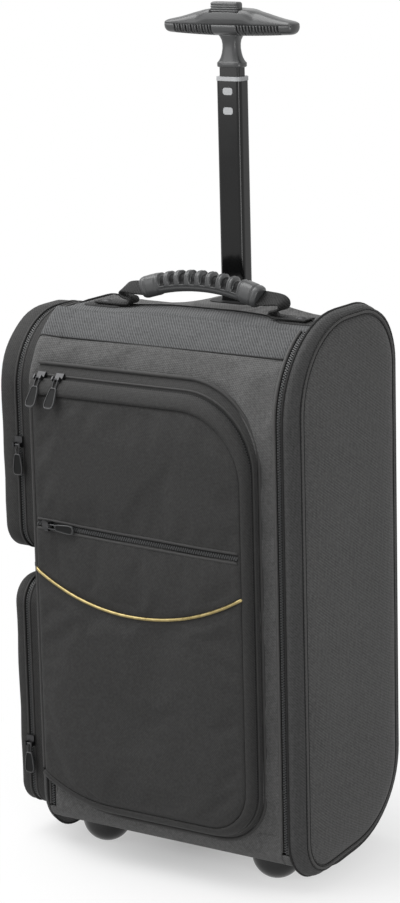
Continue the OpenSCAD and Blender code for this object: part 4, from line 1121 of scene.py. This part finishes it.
pocketZip = {"thick": 0.9, "tapeIn": -1.2, "toothIn": -0.6, "apart": 0.2, "far": 2.6, "slant": 0.06}
for half, body, way in (("case", "lid", 1), ("face", "pocket_flap", -1)):
    near = pocketPath(0.5, splitY + way * pocketZip["apart"], pocketZip["tapeIn"])
    far = pocketPath(0.5 + way * pocketZip["slant"], splitY + way * pocketZip["far"], pocketZip["tapeIn"])
    tape = spread(f"pocket_tape_{half}", [list(pair) for pair in zip(near, far)], "zipTape", body)
    thicken(tape, pocketZip["thick"])
    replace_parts(tape, "pocket_zip") if half == "case" else tape
zipPath = pocketPath(0.5, splitY, pocketZip["toothIn"])
zipTeeth("pocket_teeth", zipPath, ringOut(zipPath), ("pocket_flap", "lid"))
for name, out, y, grow, radius, body, finish in (
        ("pocket_base_welt", 1.0, faceY - 1.7, 1.3, 1.8, "lid", "seamCloth"),
        ("pocket_zip_welt_base", 0.6, splitY + 3.6, 0.3, 1.2, "lid", "seamCloth"),
        ("pocket_zip_welt_face", 0.4, splitY - 3.6, 0.3, 1.2, "pocket_flap", "edgeCloth"),
        ("pocket_face_welt", 0.03, pocketY + 1.9, -0.3, 1.6, "pocket_flap", "edgeCloth")):
    path = pocketPath(out, y, grow)
    sweep(name, path, roundSection(radius, 8), ringOut(path), finish, body)
print("front pocket made")


# Slip pocket's zip and the gold piping

slipLook = {"tape": 7.4, "thick": 0.9, "lift": 0.3, "toothLift": 1.0, "weltDrop": 4.6, "welt": 1.3}
goldLook = {"radius": 1.75, "lift": 0.6, "step": 3.0}


def facePath(height, half, lift, step=4.0, drop=0.0):
    count = round(2 * half / step)
    xs = [pocketMid - half + 2 * half * k / count for k in range(count + 1)]
    return [(x, faceDepth(x, height(x) + drop) - lift, height(x) + drop) for x in xs]


slipPath = facePath(slipHeight, pocket["slipHalf"], slipLook["lift"])
section = flatSection(slipLook["tape"], slipLook["thick"], 0.3)
tape = sweep("slip_tape", slipPath, section, (0, -1, 0), "zipTape", "pocket_flap")
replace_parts(tape, "slip_pocket_zip")
toothPath = facePath(slipHeight, pocket["slipHalf"], slipLook["toothLift"])
zipTeeth("slip_teeth", toothPath, (0, -1, 0), ("pocket_flap", "pocket_flap"))
for name, drop in (("slip_welt_low", -slipLook["weltDrop"]), ("slip_welt_high", slipLook["weltDrop"])):
    path = facePath(slipHeight, pocket["slipHalf"], 0.0, drop=drop)
    section = roundSection(slipLook["welt"], 8)
    sweep(name, path, section, (0, -1, 0), "seamCloth", "pocket_flap")
goldPath = facePath(goldHeight, pocket["goldHalf"], goldLook["lift"], goldLook["step"])
section = roundSection(goldLook["radius"], 10)
gold = sweep("gold_piping_cord", goldPath, section, (0, -1, 0), "goldCord", "pocket_flap")
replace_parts(gold, "gold_piping")
print("slip pocket made")


# Side pockets

pouches = {"upper": {"radii": (73.5, 55, 28, 28)}, "lower": {"radii": (28, 28, 60, 24)}}
pouchLook = {"split": 16, "crown": 2.0, "crownTo": 0.7, "foot": 62, "head": 74, "thick": 3.4, "wallThick": 2.6,
             "tapeThick": 0.8, "tapeIn": 1.7, "toothIn": 1.1, "apart": 0.2, "tapeFar": 3.0, "weltFar": 3.7,
             # cover's seam and case's wall: distance from the zip or the side, inset
             "seam": ((2.6, 1.3), (3.0, 0.1), (4.4, -0.5)),
             "wallFoot": ((-0.6, -0.9), (1.0, -1.0), (3.0, 0.2), (7.0, -0.5)),
             "wallSeam": ((4.2, -0.3), (3.0, 0.0), (2.6, 1.3)),
             "roundSteps": 8, "roundIn": 9.0, "roundFrom": -0.5, "roundOut": 8.0, "roundBack": 8.5, "least": 0.4,
             "fill": (0.08, 0.2, 0.36, 0.54, 0.72, 0.9), "uneven": 1.3, "unevenSize": 40, "unevenFrom": (6, 16)}


def pouchRings(corners, split, depth, spine):     # from the zip out over the rounded edge and in to the middle
    p = pouchLook
    rings = [[(split - back, y, z) for y, z in sideLoop(corners, inset)] for back, inset in p["seam"]]
    least = p["seam"][-1][0]
    for k in range(1, p["roundSteps"] + 1):
        a = math.radians(90 * k / p["roundSteps"])
        inset = p["roundFrom"] + p["roundIn"] * (1 - math.cos(a))
        reach = max(least + k * p["least"], depth - p["roundBack"] + p["roundOut"] * math.sin(a))
        rings.append([(split - reach, y, z) for y, z in sideLoop(corners, inset)])
    inner = sideLoop(corners, p["roundBack"])
    for share, loop in zip(p["fill"], fillRings(inner, p["fill"], spine)):
        lift = depth - (p["roundBack"] - p["roundOut"]) + p["crown"] * smoothStep(share, 0, p["crownTo"])
        rings.append([(split - lift, y, z) for y, z in loop])
    shaped = [rings[0]]
    for ring in rings[1:]:
        shaped.append([(x + p["uneven"] * ripple(0, y, z, p["unevenSize"], 9.0)
                        * smoothStep(split - x, *p["unevenFrom"]), y, z) for x, y, z in ring])
    return shaped


def makePouch(name, look):
    low, high = span(f"{name}_pocket_cover")
    corners = cornersOf(low.y, high.y, low.z, high.z, look["radii"])
    split = -halfWidth - pouchLook["split"]
    spine = ((low.y + high.y) / 2, low.z + pouchLook["foot"], high.z - pouchLook["head"])
    coverBody = f"{name}_cover"

    def ringAt(x, inset):
        return [(x, y, z) for y, z in sideLoop(corners, inset)]

    rings = pouchRings(corners, split, split - low.x, spine)
    cover = loft(f"{name}_pocket_pad", rings, "pouchCloth", coverBody, caps=("last",))
    thicken(cover, pouchLook["thick"])
    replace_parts(cover, f"{name}_pocket_cover")
    baseRings = [ringAt(-halfWidth - out, inset) for out, inset in pouchLook["wallFoot"]]
    baseRings += [ringAt(split + near, inset) for near, inset in pouchLook["wallSeam"]]
    base = thicken(loft(f"{name}_pocket_wall", baseRings, "pouchCloth", "case", caps=()), pouchLook["wallThick"])
    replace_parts(base, f"{name}_pocket_base")
    for half, body, way in (("case", "case", 1), ("cover", coverBody, -1)):
        rings = [ringAt(split + way * off, pouchLook["tapeIn"]) for off in (pouchLook["apart"], pouchLook["tapeFar"])]
        tape = thicken(loft(f"{name}_tape_{half}", rings, "zipTape", body, caps=()), pouchLook["tapeThick"])
        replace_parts(tape, f"{name}_pocket_zip") if half == "case" else tape
    path = ringAt(split, pouchLook["toothIn"])
    heart = Vector((split, spine[0], (low.z + high.z) / 2))
    normals = [tuple((Vector(p) - heart).normalized()) for p in path]
    zipTeeth(f"{name}_teeth", path, normals, (coverBody, "case"), True)
    far = pouchLook["weltFar"]
    for tag, x, body in (("wall_welt", split + far, "case"), ("pad_welt", split - far, coverBody)):
        path = ringAt(x, -0.1)
        sweep(f"{name}_{tag}", path, roundSection(1.2, 8), normals, "seamCloth", body, True)
    path, section = ringAt(-halfWidth - 0.6, -1.2), roundSection(1.4, 8)
    sweep(f"{name}_foot_welt", path, section, normals, "bindingCloth", "case", True)


for name, look in pouches.items():
    makePouch(name, look)
print("side pockets made")


# Carry handle

handLook = {"y": -10, "half": 67.0, "rise": 11, "halfHigh": 11, "halfDeep": 10, "power": 2.7, "steps": 240,
            "around": 56, "endRound": 5.0, "endShare": 0.16, "sleeve": 0.9, "sleeveTo": (17, 19), "sleeveCut": 0.8,
            "cutAt": 6, "cutWide": 0.9, "seam": 0.8, "seamLevel": -0.42, "seamWide": 0.07, "seamFrom": (20, 24),
            "girth": 10.5}
# angles along the grip's arc, in degrees
grooveLook = {"count": 8, "pitch": 3.3, "width": 1.95, "edge": 0.3, "deep": 3.4, "rim": 0.7, "rimWide": 0.22,
              "upper": (-0.16, 0.0)}
gripHigh = span("hand_grip")[1]
handR = (handLook["half"] ** 2 + handLook["rise"] ** 2) / (2 * handLook["rise"])
handC = gripHigh.z - handLook["halfHigh"] - handR
handA = math.asin(handLook["half"] / handR)


def ovalPoint(a, wide, high, power):
    c, s = math.cos(a), math.sin(a)
    return wide * math.copysign(abs(c) ** (2 / power), c), high * math.copysign(abs(s) ** (2 / power), s)


def grooveAt(degrees):                            # how far into a groove, and how near its raised rim
    g, slot, rim = grooveLook, 0.0, 0.0
    for k in range(g["count"]):
        off = abs(degrees - (k - (g["count"] - 1) / 2) * g["pitch"]) - g["width"] / 2
        slot = max(slot, fadeOut(off, -g["edge"], 0.0))
        rim = max(rim, hump(off, g["edge"], g["rimWide"]))
    return slot, rim


def makeHandGrip():
    h, rings, shadedWindows = handLook, [], set()
    for k in range(h["steps"] + 1):
        t = -1 + 2 * k / h["steps"]
        a = handA * t
        fromEnd = (1 - abs(t)) * h["half"]
        full = 1 - h["endShare"] * (edgeDrop(fromEnd, h["endRound"]) / h["endRound"])
        swell = h["sleeve"] * fadeOut(fromEnd, *h["sleeveTo"])
        swell -= h["sleeveCut"] * hump(fromEnd, h["cutAt"], h["cutWide"])
        slot, rim = grooveAt(math.degrees(a))
        ring = []
        for j in range(h["around"]):
            thin = swell - h["sleeve"]
            b = 2 * math.pi * j / h["around"]
            wide, high = ovalPoint(b, h["halfDeep"] + thin, h["halfHigh"] + thin, h["power"])
            level = high / h["halfHigh"]
            upper = smoothStep(level, *grooveLook["upper"])
            # windows deep in a groove are painted black as painted shade
            if slot * upper > 0.5:
                shadedWindows.add((k, j))
            deep = (grooveLook["deep"] * slot - grooveLook["rim"] * rim) * upper
            deep += h["seam"] * hump(level, h["seamLevel"], h["seamWide"]) * smoothStep(fromEnd, *h["seamFrom"])
            shrink = full * (1 - deep / h["girth"])
            r = handR + high * shrink
            ring.append((r * math.sin(a), h["y"] + wide * shrink, handC + r * math.cos(a)))
        rings.append(ring)
    grip = loft("carry_grip_moulding", rings, ["gripMoulding", "blackMoulding"], "carry_grip",
                mark=lambda r, k: int((r, k) in shadedWindows))
    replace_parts(grip, "hand_grip")


makeHandGrip()

# route: distance from the middle and height, from under the patch up round the fold and into the grip
strapLook = {"width": 18, "thick": 2.2, "ease": 0.6, "twist": 40, "twistOver": (0.45, 0.95),
             "route": ((122, 547.9), (110, 547.9), (97, 547.9), (88, 548.0), (83, 548.9), (80.9, 551.2),
                       (82.6, 553.6), (87, 554.6), (91.5, 556.2), (93.4, 559.2), (92.3, 562.4), (88.6, 564.2),
                       (83, 564.6), (76, 564.6), (70, 564.8), (66, 564.8))}


def smoothPath(points, perSpan=5):                # a curve through given points
    out = []
    for i in range(len(points) - 1):
        a, b = points[max(0, i - 1)], points[i]
        c, d = points[i + 1], points[min(len(points) - 1, i + 2)]
        for k in range(perSpan):
            t = k / perSpan
            out.append(tuple(0.5 * (2 * q + (r - p) * t + (2 * p - 5 * q + 4 * r - s) * t ** 2
                                    + (3 * q - p - 3 * r + s) * t ** 3) for p, q, r, s in zip(a, b, c, d)))
    return out + [tuple(points[-1])]


def makeStrap(name, side):
    path = [(side * x, handLook["y"], z) for x, z in smoothPath(strapLook["route"])]
    spots = frames(path, (0, 1, 0))
    section = flatSection(strapLook["thick"], strapLook["width"], strapLook["ease"])
    rings = []
    for k, (p, t, s, n) in enumerate(spots):
        turned = smoothStep(k / (len(spots) - 1), *strapLook["twistOver"])
        turn = side * math.radians(strapLook["twist"]) * turned
        c, d = math.cos(turn), math.sin(turn)
        rings.append([tuple(p + s * (a * c - b * d) + n * (a * d + b * c)) for a, b in section])
    strap = loft(name, rings, "strapWebbing", None)
    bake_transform(strap)
    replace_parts(strap, "hand_straps")


makeStrap("hand_strap_right", 1)
makeStrap("hand_strap_left", -1)

# layers: inset, height above the patch's foot
patchLook = {"length": 44, "depth": 26, "round": 6, "leastRound": 0.5, "sink": 0.6, "rivetIn": 6, "cornerSteps": 6,
             "layers": ((0.0, 0.0), (0.0, 1.0), (0.5, 1.5), (1.6, 1.7), (4.0, 1.9), (8.0, 2.0))}
rivetHigh = span("handle_rivets")[1]
rivetX = rivetHigh.x - patchLook["rivetIn"]


def makePatch(name, side):
    half, deep, steps = patchLook["length"] / 2, patchLook["depth"] / 2, patchLook["cornerSteps"]
    rings = []
    for inset, z in patchLook["layers"]:
        bend = max(patchLook["leastRound"], patchLook["round"] - inset)
        drawn = max(patchLook["round"], inset)
        ring = []
        for cx, cy, start in ((1, 1, 0), (-1, 1, 90), (-1, -1, 180), (1, -1, 270)):
            for k in range(steps + 1):
                a = math.radians(start + 90 * k / steps)
                ring.append((side * rivetX + cx * (half - drawn) + bend * math.cos(a),
                             handLook["y"] + cy * (deep - drawn) + bend * math.sin(a), topZ + z - patchLook["sink"]))
        rings.append(ring)
    patch = loft(name, rings, "strapWebbing", "case")
    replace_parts(patch, "handle_patches")


makePatch("handle_patch_right", 1)
makePatch("handle_patch_left", -1)
print("carry handle made")


# T grip, neck and release button

barLook = {"low": 807, "high": 829, "deep": 15, "crest": 8.0, "taper": 2.5, "narrow": 6, "crown": 4.5,
           "crownTo": (18, 62), "power": 2.5, "square": 5.5, "squareTo": (18, 34), "endRound": 7.0, "endShare": 0.75,
           "endPower": 1.2, "partLine": 0.45, "partWide": 0.8, "partShare": 11, "steps": 330, "around": 44}
# front, top and foot: shares of the bar's half depth and of its lower half's height; dark: how far into a slot its
# floor is painted black as painted shade
slotLook = {"count": 14, "pitch": 3.4, "start": 14.9, "wide": 1.7, "ease": 0.3, "deep": 3.4, "front": (0.2, 0.45),
            "top": (0.04, 0.12), "foot": (0.88, 0.96), "dark": 0.4}
buttonWell = {"gap": 0.4, "deep": 11.4, "floor": 11.6}
barHalf = span("grip_upper")[1].x
barMid = (barLook["low"] + barLook["high"]) / 2
poleY = (poleLow.y + poleHigh.y) / 2
buttonLow, buttonHigh = span("release_button")


def slotAt(x):                                    # how far into one of the bar's slots
    cut, half = 0.0, slotLook["wide"] / 2
    for s in range(slotLook["count"]):
        off = abs(abs(x) - slotLook["start"] - s * slotLook["pitch"])
        cut = max(cut, fadeOut(off, half - slotLook["ease"], half + slotLook["ease"]))
    return cut


def barRing(x, first, last, slots):
    t, cut = x / barHalf, slotAt(x)
    ended = edgeDrop(barHalf - abs(x), barLook["endRound"]) / barLook["endRound"]
    closing = 1 - barLook["endShare"] * ended ** barLook["endPower"]
    crown = barLook["crown"] * fadeOut(abs(x), *barLook["crownTo"])
    top = (barLook["high"] - barMid - barLook["crest"] * t * t + crown) * closing
    low = (barMid - barLook["low"] - barLook["taper"] * t * t) * closing
    deep = (barLook["deep"] - barLook["narrow"] * t * t) * closing
    topPower = between(barLook["power"], barLook["square"], fadeOut(abs(x), *barLook["squareTo"]))
    ring = []
    for j in range(barLook["around"] + 1):
        a = between(first, last, j / barLook["around"])
        above = math.sin(a) > 0
        wide, high = ovalPoint(a, deep, top if above else low, topPower if above else barLook["power"])
        part = barLook["partLine"] * hump(high, 0, barLook["partWide"])
        front = smoothStep(-wide / deep, *slotLook["front"])
        front *= smoothStep(-high / low, *slotLook["top"]) * fadeOut(-high / low, *slotLook["foot"])
        # slot floors are painted black as painted shade
        if cut * front > slotLook["dark"]:
            slots.add((round(x, 3), j))
        y = wide * (1 - part / deep) + slotLook["deep"] * cut * front
        ring.append((x, poleY + y, barMid + high * (1 - part / barLook["partShare"])))
    return ring


def makeBarHalf(name, node, first, last):
    slots = set()
    places = [barHalf * (-1 + 2 * k / barLook["steps"]) for k in range(barLook["steps"] + 1)]
    rings = [barRing(x, first, last, slots) for x in places]
    if node == "grip_upper":                      # the button's well
        gap, floor = buttonWell["gap"], barLook["low"] + buttonWell["floor"]
        front, back = buttonLow.y - gap, buttonLow.y + buttonWell["deep"]
        for ring in rings:
            for i, (x, y, z) in enumerate(ring):
                if buttonLow.x - gap < x < buttonHigh.x + gap and front < y < back:
                    ring[i] = (x, y, min(z, floor))
    piece = loft(name, rings, ["greyMoulding", "blackMoulding"], "upper_pole",
                 mark=lambda r, k: int((round(places[r], 3), k) in slots))
    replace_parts(piece, node)


makeBarHalf("t_grip_upper", "grip_upper", 0.0, math.pi)
makeBarHalf("t_grip_lower", "grip_lower", math.pi, 2 * math.pi)

# levels: height, half width, half depth
neckLook = {"around": 40, "power": 3.2,
            "levels": ((777.0, 14.2, 8.2), (777.6, 14.8, 8.7), (781.0, 14.8, 8.7), (781.6, 14.2, 8.4),
                       (783.0, 12.8, 7.9), (786.0, 11.0, 7.2), (790.0, 9.6, 6.8), (795.0, 8.7, 6.5),
                       (799.0, 8.7, 6.5), (803.0, 9.4, 7.0), (806.5, 11.2, 8.2), (809.0, 13.2, 9.6))}


def makeNeck():
    rings = []
    for z, wide, deep in neckLook["levels"]:
        ring = []
        for j in range(neckLook["around"]):
            x, y = ovalPoint(2 * math.pi * j / neckLook["around"], wide, deep, neckLook["power"])
            ring.append((x, poleY + y, z))
        rings.append(ring)
    neck = loft("t_grip_neck", rings, "greyMoulding", "upper_pole")
    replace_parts(neck, "grip_neck")


makeNeck()

buttonLook = {"deep": 5.5, "power": 7.0, "top": 840, "low": 825, "wall": 1.4, "sideGap": 0.1, "levels": 60,
              "around": 48, "topRound": 2.6, "topShare": 0.9, "ribLow": 829, "ribHigh": 838.5, "ribPitch": 2.2,
              "ribDeep": 0.8, "ribFrom": (2.0, 4.0)}


def makeButton():
    b, rings = buttonLook, []
    middleY = buttonLow.y + b["deep"]
    for k in range(b["levels"] + 1):
        z = between(b["low"], b["top"], k / b["levels"])
        inset = edgeDrop(b["top"] - z, b["topRound"]) * b["topShare"]
        ribbed = b["ribLow"] < z < b["ribHigh"]
        rib = 0.5 - 0.5 * math.cos(2 * math.pi * (z - b["ribLow"]) / b["ribPitch"]) if ribbed else 0.0
        wide, deep, ring = buttonHigh.x - inset - b["sideGap"], b["deep"] - inset, []
        for j in range(b["around"]):
            x, y = ovalPoint(2 * math.pi * j / b["around"], wide, deep, b["power"])
            if y < 0:
                y += b["ribDeep"] * rib * smoothStep(-y, *b["ribFrom"])
            ring.append((x, middleY + y, z))
        rings.append(ring)
    button = thicken(loft("t_grip_button", rings, "greyMoulding", "release", caps=("last",)), b["wall"])
    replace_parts(button, "release_button")


makeButton()
print("T grip made")


# Zip pulls and sliders

# outline: half width and distance down from the pin
pullLook = {"thick": 2.6, "hollow": 0.55, "ease": 0.45, "middle": 20.0, "squash": 0.6, "paintedHighlightLayers": (2, 6),
            "outline": ((2.6, 9.0), (3.4, 9.6), (4.2, 12.0), (5.0, 17.0), (5.7, 22.5), (5.9, 26.0), (5.4, 29.0),
                        (4.0, 30.6), (1.8, 31.0))}
# sides: share of the half width and distance down, from the pin towards the loop's foot
wireLook = {"radius": 0.75, "half": 2.2, "pin": -0.3, "foot": 11.2,
            "sides": ((1.0, 0.2), (1.0, 4.0), (0.95, 8.0), (0.6, 10.6))}


def makePull(name, node, body, pin, down, out, narrow=1.0):
    down, out = Vector(down).normalized(), Vector(out).normalized()
    across = down.cross(out)
    origin = Vector(pin)

    def spot(w, d, n):
        return tuple(origin + across * w + down * d + out * n)

    half = [(w * narrow, d) for w, d in pullLook["outline"]]
    loop = half + [(-w, d) for w, d in reversed(half)]

    def drawn(inset):                             # the outline drawn in towards the tab's middle
        ring = []
        for w, d in loop:
            rise = (d - pullLook["middle"]) * pullLook["squash"]
            away = max(1e-6, math.hypot(w, rise))
            ring.append((w - inset * w / away, d - inset * rise / away))
        return ring

    side, hollow, ease = pullLook["thick"] / 2, pullLook["hollow"], pullLook["ease"]
    front = [(0.0, side - ease), (0.35, side), (1.1, side), (1.6, side - hollow), (2.6, side - hollow)]
    layers = [(inset, -n) for inset, n in reversed(front)] + front
    rings = [[spot(w, d, n) for w, d in drawn(inset)] for inset, n in layers]
    # the rim layers take the lighter rim finish as a painted highlight
    first, last = pullLook["paintedHighlightLayers"]
    tab = loft(name + "_tab", rings, ["pullTab", "pullRimPaintedHighlight"], body, mark=lambda r, k: int(first <= r <= last))
    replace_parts(smoother(tab), node)
    right = [(share * wireLook["half"], d) for share, d in wireLook["sides"]]
    left = [(-w, d) for w, d in reversed(right)]
    ends = [(0, wireLook["pin"])]
    path = [spot(w, d, 0) for w, d in ends + right + [(0, wireLook["foot"])] + left + ends]
    wire = sweep(name + "_wire", path, roundSection(wireLook["radius"], 8), tuple(out), "sliderEnamel", body)


joints = {joint["name"]: joint for joint in frame["joints"]}
overLean, slipLean = math.radians(31), math.radians(pocket["slipTilt"])
hanging = ((0, 0, -1), (0, -1, 0))                # which way a pull points, and which way it faces
overEdge = ((0, -math.sin(overLean), -math.cos(overLean)), (0, -math.cos(overLean), math.sin(overLean)))
alongSlip = ((math.cos(slipLean), 0, -math.sin(slipLean)), (0, -1, 0))
for name, node, (down, out), narrow in (
        ("main", "main_pull", hanging, 0.84), ("pocket_a", "pocket_pull_a", overEdge, 1.0),
        ("pocket_b", "pocket_pull_b", overEdge, 1.0), ("slip", "slip_pull", alongSlip, 0.8),
        ("upper", "upper_pull", hanging, 1.0), ("lower", "lower_pull", hanging, 1.0)):
    pin = (Vector(joints[f"{name}_pull_swing"]["pos_m"]) - middle) / mm
    makePull(f"{name}_zip_pull", node, f"{name}_zip_pull", pin, down, out, narrow)
print("zip pulls made")


# Finishes of the construction pieces that stay as they are

sliders = ("main_slider", "pocket_slider_a", "pocket_slider_b", "slip_slider", "upper_slider", "lower_slider")
kept = {
    "fibreBoard": ("base_board", "frame_sheet"), "drawnAluminium": ("pole_housing",),
    "blackMoulding": ("pole_foot", "pole_collar", "wheel_housings", "tube_shoe"), "footGloss": ("front_feet",),
    "tubeEnamel": ("lower_tube", "upper_tube"), "paleMoulding": ("tube_bush",),
    "plainSteel": ("wheel_axles", "push_rod", "button_spring"),
    "tyreRubber": ("tyre_right", "tyre_left"), "hubMoulding": ("hub_right", "hub_left"),
    "sliderEnamel": ("handle_rivets", *sliders),
}
easedEdges = {"pole_collar": 0.8, "tube_bush": 0.25, "wheel_housings": 0.6, "tyre_right": 2.2, "tyre_left": 2.2,
              "hub_right": 0.6, "hub_left": 0.6, "base_board": 0.5, "frame_sheet": 0.5,
              **{slider: 0.7 for slider in sliders}}
for finish, nodes in kept.items():
    for node in nodes:
        solid = frame["nodes"][node]
        solid.data.materials.clear()
        solid.data.materials.append(looks[finish])
        if node in easedEdges:
            softEdges(solid, easedEdges[node])
print("construction finished")


# Floor, lamps and surroundings

stageLook = {"floorSize": 30, "shade": 0.9, "ambient": 0.26, "whiteFrom": -0.25, "whiteTo": 0.46, "bounce": 0.35}
lamps = {
    "overhead": {"at": (-0.8, -0.5, 2.4), "aim": (0, 0, 0.4), "size": (2.2, 2.2), "power": 66},
    "leftFill": {"at": (-1.6, -2.4, 1.3), "aim": (0, 0, 0.4), "size": (1.6, 1.8), "power": 17},
    "rightStrip": {"at": (1.05, -1.0, 0.42), "aim": (0, 0.05, 0.60), "size": (0.42, 0.9), "power": 6.5},
}


def seenDirectly(finish):                         # 1 for the rays that show the background as white
    ray = finish.add("ShaderNodeLightPath")
    seen = ray.pick("Is Camera Ray")
    for extra in ("Is Glossy Ray", "Is Transmission Ray"):
        seen = seen.sum("MAXIMUM", seen, ray.pick(extra))
    return seen


def makeFloor():
    size = stageLook["floorSize"]
    mesh = bpy.data.meshes.new("floor")
    mesh.from_pydata([(-size, -size, 0), (size, -size, 0), (size, size, 0), (-size, size, 0)], [], [(0, 1, 2, 3)])
    floor = bpy.data.objects.new("floor", mesh)
    scene.collection.objects.link(floor)
    finish = newFinish("floorPaper", {"Roughness": 0.9, "Specular IOR Level": 0.0,
                                      "Base Color": grey(stageLook["shade"])})
    x, y, z = finish.split(finish.here())
    away = (x * x + y * y).root()
    ramp = finish.add("ShaderNodeMapRange", {"interpolation_type": "SMOOTHSTEP"},
                      {"Value": away, "From Min": stageLook["whiteFrom"], "From Max": stageLook["whiteTo"]})
    white = finish.add("ShaderNodeEmission", sockets={"Color": grey(1.0), "Strength": 1.0})
    soft = finish.add("ShaderNodeEmission", sockets={"Color": grey(1.0), "Strength": stageLook["bounce"]})
    glow = finish.add("ShaderNodeMixShader", sockets={0: seenDirectly(finish), 1: soft, 2: white})
    shade = Flow(finish, finish.shader.outputs[0])
    mixed = finish.add("ShaderNodeMixShader", sockets={0: ramp, 1: shade, 2: glow})
    finish.plug(finish.tree.nodes["Material Output"].inputs["Surface"], mixed)
    floor.data.materials.append(finish.owner)


def makeLamps():
    for name, lamp in lamps.items():
        data = bpy.data.lights.new(name, "AREA")
        data.shape = "RECTANGLE"
        data.size, data.size_y = lamp["size"]
        data.energy = lamp["power"]
        light = bpy.data.objects.new(name, data)
        scene.collection.objects.link(light)
        light.location = lamp["at"]
        light.rotation_euler = (Vector(lamp["at"]) - Vector(lamp["aim"])).to_track_quat("Z", "Y").to_euler()


def makeWorld():
    scene.world = bpy.data.worlds.new("surroundings")
    finish = Finish(scene.world, {}, "Background")
    finish.feed({"Color": grey(1.0), "Strength": stageLook["ambient"]})
    white = finish.add("ShaderNodeBackground", sockets={"Color": grey(1.0), "Strength": 1.0})
    soft = Flow(finish, finish.shader.outputs[0])
    mixed = finish.add("ShaderNodeMixShader", sockets={0: seenDirectly(finish), 1: soft, 2: white})
    finish.plug(finish.tree.nodes["World Output"].inputs["Surface"], mixed)


makeFloor()
makeLamps()
makeWorld()
print("stage lit")
